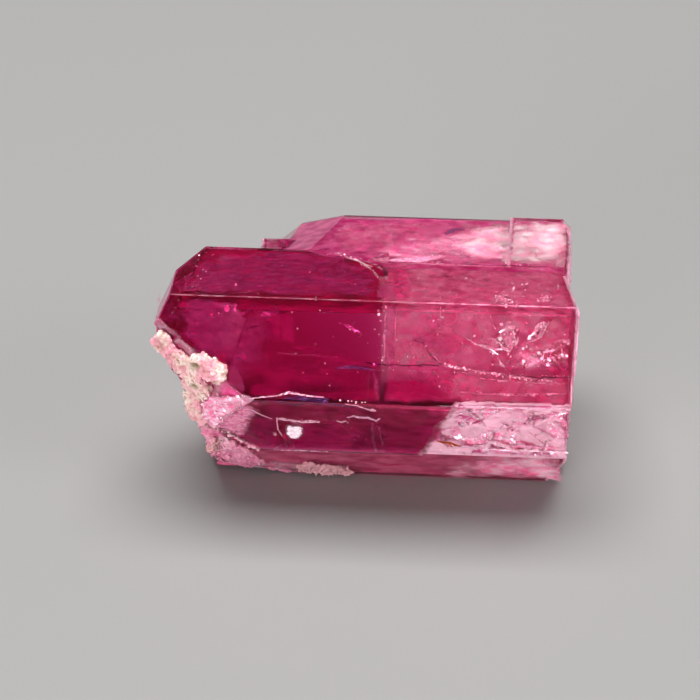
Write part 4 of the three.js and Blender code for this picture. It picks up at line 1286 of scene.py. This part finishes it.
def crumbMaterial(name, look):
    material, tree = newMaterial(name)
    out = addNode(tree, "ShaderNodeOutputMaterial")
    coords = addNode(tree, "ShaderNodeTexCoord")
    pit = addNode(tree, "ShaderNodeAttribute", {"attribute_name": "pit"})
    stain = addNode(tree, "ShaderNodeTexNoise", {"Scale": 2400.0, "Detail": 4.0},
                    Vector=coords.outputs["Object"])
    grain = addNode(tree, "ShaderNodeTexNoise", {"Scale": 11000.0, "Detail": 5.0, "Roughness": 0.7},
                    Vector=coords.outputs["Object"])
    stone = colourRamp(tree, grain.outputs["Fac"], [(0.25, look["shade"]), (0.5, look["stone"])])
    pinkShare = addNode(tree, "ShaderNodeMapRange", {"From Min": 0.46, "From Max": 0.58, "To Max": 0.85},
                        Value=stain.outputs["Fac"])
    height = addNode(tree, "ShaderNodeSeparateXYZ", None, Vector=coords.outputs["Object"])
    lowPink = addNode(tree, "ShaderNodeMapRange",
                      {"From Min": look["pinkBelow"][1] * mm, "From Max": look["pinkBelow"][0] * mm,
                       "To Max": 0.7}, Value=height.outputs["Z"])
    pinkAll = addNode(tree, "ShaderNodeMath", {"operation": "MAXIMUM"}, _0=pinkShare.outputs["Result"],
                      _1=lowPink.outputs["Result"])
    stained = addNode(tree, "ShaderNodeMix", {"data_type": "RGBA", 7: linearColour(look["berylCrumbs"])},
                      _0=pinkAll.outputs["Value"], _6=stone)
    # Painted shade: the crevices between crumbs are darkened towards the hollow shade colour.
    hollowShade = addNode(tree, "ShaderNodeAttribute", {"attribute_name": "hollowShade"})
    deepened = addNode(tree, "ShaderNodeMix", {"data_type": "RGBA", 7: linearColour(look["hollowShade"])},
                       _0=hollowShade.outputs["Fac"], _6=stained.outputs[2])
    pitted = addNode(tree, "ShaderNodeMix", {"data_type": "RGBA", 7: linearColour(look["pit"])},
                     _0=pit.outputs["Fac"], _6=deepened.outputs[2])
    # Painted shade: the colour darkens towards the ground below shadedBelow.
    shaded = addNode(tree, "ShaderNodeMapRange",
                     {"From Min": look["shadedBelow"][1] * mm, "From Max": look["shadedBelow"][0] * mm,
                      "To Max": 0.75}, Value=height.outputs["Z"])
    colour = addNode(tree, "ShaderNodeMix", {"data_type": "RGBA", 7: linearColour(look["shadeNearFloor"])},
                     _0=shaded.outputs["Result"], _6=pitted.outputs[2]).outputs[2]
    bump = addNode(tree, "ShaderNodeBump", {"Strength": 0.5, "Distance": 0.00001},
                   Height=grain.outputs["Fac"])
    face = addNode(tree, "ShaderNodeBsdfPrincipled", {"Roughness": 0.85}, Base_Color=colour,
                   Normal=bump.outputs["Normal"])
    through = addNode(tree, "ShaderNodeBsdfTranslucent", Color=colour)
    shader = addNode(tree, "ShaderNodeMixShader", {0: look["through"]}, _1=face.outputs[0],
                     _2=through.outputs[0])
    tree.links.new(shader.outputs[0], out.inputs["Surface"])
    return material


# A body remeshed finely in mm, its surface raised into crumbs and sunk at the pits. An open
# surface is given a thickness first.
def crumbly(work, thickness=0):
    bmesh.ops.scale(work, vec=(1 / mm, 1 / mm, 1 / mm), verts=work.verts)
    body = scratchObject(work)
    if thickness:
        solid = body.modifiers.new("thickness", "SOLIDIFY")
        solid.thickness = thickness
        solid.offset = 0
    remesh = body.modifiers.new("even grain", "REMESH")
    remesh.mode = "VOXEL"
    remesh.voxel_size = crustLook["voxel"]
    fine = evaluatedMesh(body)
    bpy.data.objects.remove(body)
    work = bmesh.new()
    work.from_mesh(fine)
    layer = work.verts.layers.float.new("pit")
    hollowShade = work.verts.layers.float.new("hollowShade")
    work.normal_update()
    pits = [place(pit) / mm for pit in crustLook["pits"]]
    moves = []
    for vert in work.verts:
        spot = vert.co
        lump = 0.4 - noise.voronoi(spot / crustLook["lump"])[0][0]
        big = noise.voronoi(spot / crustLook["crumb"])[0][0]
        small = noise.voronoi(spot / crustLook["crumb"] * 2.3)[0][0]
        rise = (0.5 - big) * 1.0 + (0.45 - small) * 0.45 + noise.fractal(spot * 14, 0.8, 2.0, 3) * 0.3
        sunk = max(0.0, 1 - min((spot - pit).length for pit in pits) / crustLook["pitSize"])
        vert[layer] = min(1.0, sunk * 1.6)
        # How low a spot lies between crumbs, which the material darkens as painted shade.
        vert[hollowShade] = max(0.0, min(1.0, 0.35 - rise * 0.9))
        raised = rise * crustLook["relief"] + lump * crustLook["lumpRelief"] - sunk * 0.1
        moves.append(vert.normal * raised)
    for vert, move in zip(work.verts, moves):
        vert.co = (vert.co + move) * mm
    for face in work.faces:
        face.smooth = True
    print("crumbly faces", len(work.faces))
    return work


crustFinish = crumbMaterial("weathered_rhyolite", crustLook)
crumbLook = {"perSquareMm": 60.0, "sizes": (0.015, 0.06), "spread": 0.02, "seed": 31, "kind": "crumb"}
for node in ("matrix_crust_left", "matrix_crust_under"):
    crust = newPiece(node.replace("matrix_crust", "crumbly_crust"), crumbly(cleanCadCopy(node)),
                     crustFinish)
    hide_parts(node)
    ground = bmesh.new()
    ground.from_mesh(crust.data)
    scatter(node.replace("matrix_crust", "crust_crumbs"), ground, crumbLook, crustFinish, "rhyolite_crust")
print("crust made")

# Bruised prism edges: a fine uneven frosted line along each path, its half width in mm. The pale line is
# partly edge wear and partly a painted highlight where light catches the edge.
wornEdgeHighlightLook = {
    "colours": ("#D8588A", "#FFA8C6"),
    "cover": (0.2, 0.7),  # at the left and at the right
    "paths": {
        "worn_highlit_top_front_edge": (0.022, [(-4.93, -1.3, 2.252), (5.33, -1.3, 2.252)]),
        "worn_highlit_right_rim": (0.024, [(5.395, -1.31, 2.24), (5.425, -1.38, 2.12), (5.4, -1.74, 1.49),
                                   (5.363, -2.15, 0.77)]),
        "worn_highlit_low_edge": (0.012, [(-2.5, -1.3, -2.252), (1.7, -1.3, -2.252)]),
        "worn_highlit_step_end": (0.02, [(5.3, -2.23, 0.79), (5.3, -2.6, 0.15)]),
    },
}


def wornEdgeHighlightMaterial():
    material, tree = newMaterial("beryl_worn_and_highlit_edge")
    out = addNode(tree, "ShaderNodeOutputMaterial")
    coords = addNode(tree, "ShaderNodeTexCoord")
    patchy = addNode(tree, "ShaderNodeTexNoise", {"Scale": 4000.0, "Detail": 4.0},
                     Vector=coords.outputs["Object"])
    colour = colourRamp(tree, patchy.outputs["Fac"], [(0.4, wornEdgeHighlightLook["colours"][0]),
                                                      (0.62, wornEdgeHighlightLook["colours"][1])])
    along = addNode(tree, "ShaderNodeSeparateXYZ", None, Vector=coords.outputs["Object"])
    # The painted highlight is fainter to the left and stronger to the right.
    wearAndHighlight = addNode(tree, "ShaderNodeMapRange",
                   {"From Min": 0.0, "From Max": 3.5 * mm, "To Min": wornEdgeHighlightLook["cover"][0],
                    "To Max": wornEdgeHighlightLook["cover"][1]}, Value=along.outputs["X"])
    whole = addNode(tree, "ShaderNodeMapRange", {"From Min": 0.3, "From Max": 0.6, "To Min": 0.35},
                    Value=patchy.outputs["Fac"])
    alpha = addNode(tree, "ShaderNodeMath", {"operation": "MULTIPLY"}, _0=wearAndHighlight.outputs["Result"],
                    _1=whole.outputs["Result"])
    face = addNode(tree, "ShaderNodeBsdfPrincipled", {"Roughness": 0.4}, Base_Color=colour,
                   Alpha=alpha.outputs["Value"])
    tree.links.new(face.outputs[0], out.inputs["Surface"])
    return material


# A node tree that sweeps an uneven round thread along the edges that it is given.
def threadTree(material):
    tree = bpy.data.node_groups.new("thread", "GeometryNodeTree")
    tree.interface.new_socket("Geometry", in_out="INPUT", socket_type="NodeSocketGeometry")
    for label in ("Radius", "Step"):
        tree.interface.new_socket(label, in_out="INPUT", socket_type="NodeSocketFloat")
    tree.interface.new_socket("Geometry", in_out="OUTPUT", socket_type="NodeSocketGeometry")
    given = addNode(tree, "NodeGroupInput")
    result = addNode(tree, "NodeGroupOutput")
    path = addNode(tree, "GeometryNodeMeshToCurve", None, Mesh=given.outputs["Geometry"])
    fine = addNode(tree, "GeometryNodeResampleCurve", {"mode": "LENGTH"}, Curve=path.outputs[0],
                   Length=given.outputs["Step"])
    width = addNode(tree, "FunctionNodeRandomValue", {"data_type": "FLOAT", 2: 0.45, 3: 1.0, "Seed": 41})
    varied = addNode(tree, "GeometryNodeSetCurveRadius", None, Curve=fine.outputs[0],
                     Radius=width.outputs[1])
    profile = addNode(tree, "GeometryNodeCurvePrimitiveCircle", {"Resolution": 8},
                      Radius=given.outputs["Radius"])
    swept = addNode(tree, "GeometryNodeCurveToMesh", {"Fill Caps": True}, Curve=varied.outputs[0],
                    Profile_Curve=profile.outputs[0])
    if "Scale" in swept.inputs.keys():  # some versions take the radius through an input of its own
        reading = addNode(tree, "GeometryNodeInputRadius")
        tree.links.new(reading.outputs[0], swept.inputs["Scale"])
    real = addNode(tree, "GeometryNodeRealizeInstances", None, Geometry=swept.outputs[0])
    finished = addNode(tree, "GeometryNodeSetMaterial", {"Material": material}, Geometry=real.outputs[0])
    tree.links.new(finished.outputs[0], result.inputs[0])
    return tree


def pathWork(points):
    work = bmesh.new()
    verts = [work.verts.new(place(p)) for p in points]
    for first, second in zip(verts, verts[1:]):
        work.edges.new((first, second))
    return work


wornEdgeHighlightFinish = wornEdgeHighlightMaterial()
for name, (radius, points) in wornEdgeHighlightLook["paths"].items():
    thread = throughTree(pathWork(points), threadTree(wornEdgeHighlightFinish),
                         {"Radius": radius * mm, "Step": 0.05 * mm})
    print(name, len(thread.faces))
    newPiece(name, thread, wornEdgeHighlightFinish)
print("worn edges made")

# Sugary broken beryl with pale crumbs, on the worn lower left of the crystal.
sugarLook = {
    "stone": "#FFE2E8",
    "shade": "#FFBCD0",
    "berylCrumbs": "#F090B4",
    # painted shade in the crevices between crumbs
    "hollowShade": "#D0588A",
    "pit": "#BC4878",
    "pinkBelow": (0.9, 1.8),
    # painted shade near the floor
    "shadeNearFloor": "#B86480",
    "shadedBelow": (0.1, 1.0),
    "through": 0.35,
    "thickness": 0.12,  # mm
    "lowFacePatch": [(-4.3, -0.9), (-3.85, -1.1), (-3.5, -1.6), (-3.06, -2.1), (-2.6, -2.8), (-3.06, -3.1),
                     (-3.5, -2.95), (-4.0, -2.4)],
    "crumbs": {"perSquareMm": 40.0, "sizes": (0.02, 0.08), "spread": 0.08, "seed": 79, "kind": "crumb"},
}


def lowerLeftGround():
    work = cleanCadCopy("red_beryl_crystal")
    away = []
    for face in work.faces:
        spot = face.calc_center_median() / mm - frontAxis
        normal = face.normal
        worn = spot.x < -2.2 and spot.z < -1.2 and (normal.x < -0.3 or normal.z < -0.9) and normal.y < 0.3
        if not worn:
            away.append(face)
    bmesh.ops.delete(work, geom=away, context="FACES")
    work.faces.new([work.verts.new(onFace("rearLow", x, up, 0)) for x, up in sugarLook["lowFacePatch"]])
    work.normal_update()
    return work


sugarFinish = crumbMaterial("sugary_beryl_break", sugarLook)
newPiece("sugary_break_lower_left", crumbly(lowerLeftGround(), sugarLook["thickness"]), sugarFinish)
scatter("worn_crumbs_lower_left", lowerLeftGround(), sugarLook["crumbs"], sugarFinish)
print("worn crumbs made")

# A plain floor just under the crystal, a soft light nearly straight above, a weak one from the
# front left, and a room that is bright low down behind and dark in front.
studioPlan = {
    "floor": "#7C7B7A",
    "floorDrop": 0.03,  # mm
    "floorReach": 0.6,  # m
    "backWall": 0.42,
    "backWallTop": 0.45,  # sine of how high it reaches
    "room": 0.04,
}
floorMesh = bpy.data.meshes.new("floor")
reach = studioPlan["floorReach"]
drop = -studioPlan["floorDrop"] * mm
corners = [(-reach, -reach, drop), (reach, -reach, drop), (reach, reach, drop), (-reach, reach, drop)]
floorMesh.from_pydata(corners, [], [(0, 1, 2, 3)])
floor = bpy.data.objects.new("floor", floorMesh)
bpy.context.scene.collection.objects.link(floor)
floorFinish, floorTree = newMaterial("matt_grey_card")
floorOut = addNode(floorTree, "ShaderNodeOutputMaterial")
floorShader = addNode(floorTree, "ShaderNodeBsdfPrincipled",
                      {"Base Color": linearColour(studioPlan["floor"]), "Roughness": 0.7})
floorTree.links.new(floorShader.outputs[0], floorOut.inputs["Surface"])
floorMesh.materials.append(floorFinish)

world = bpy.data.worlds.new("studio")
bpy.context.scene.world = world
world.use_nodes = True
roomTree = world.node_tree
facing = addNode(roomTree, "ShaderNodeSeparateXYZ",
                 Vector=addNode(roomTree, "ShaderNodeTexCoord").outputs["Generated"])
behind = addNode(roomTree, "ShaderNodeMapRange",
                 {"From Min": 0.0, "From Max": 0.5, "interpolation_type": "SMOOTHSTEP"},
                 Value=facing.outputs["Y"])
lowDown = addNode(roomTree, "ShaderNodeMapRange",
                  {"From Min": studioPlan["backWallTop"], "From Max": 0.2,
                   "interpolation_type": "SMOOTHSTEP"},
                  Value=facing.outputs["Z"])
wall = addNode(roomTree, "ShaderNodeMath", {"operation": "MULTIPLY"},
               _0=behind.outputs["Result"], _1=lowDown.outputs["Result"])
brightness = addNode(roomTree, "ShaderNodeMapRange",
                     {"To Min": studioPlan["room"], "To Max": studioPlan["backWall"]},
                     Value=wall.outputs["Value"])
roomTree.links.new(brightness.outputs["Result"], roomTree.nodes["Background"].inputs["Color"])


def softBox(name, azimuthDegrees, elevationDegrees, distance, size, power):
    light = bpy.data.lights.new(name, "AREA")
    light.shape = "RECTANGLE"
    light.size, light.size_y = size
    light.energy = power
    turn = math.radians(azimuthDegrees)
    rise = math.radians(elevationDegrees)
    spot = Vector((math.sin(turn) * math.cos(rise), -math.cos(turn) * math.cos(rise),
                   math.sin(rise))) * distance
    lamp = bpy.data.objects.new(name, light)
    lamp.location = spot
    lamp.rotation_euler = (-spot).to_track_quat("-Z", "Y").to_euler()
    bpy.context.scene.collection.objects.link(lamp)


# name, azimuth from the front towards +X, elevation, distance and size in metres, watts
softBox("overhead", 180, 88, 0.24, (0.22, 0.18), 1.35)
softBox("front", -25, 8, 0.22, (0.12, 0.08), 0.62)
softBox("right", 65, 25, 0.25, (0.10, 0.10), 0.25)

scene = bpy.context.scene
scene.view_settings.view_transform = "Standard"
scene.cycles.max_bounces = 20
scene.cycles.transmission_bounces = 16
scene.cycles.transparent_max_bounces = 24
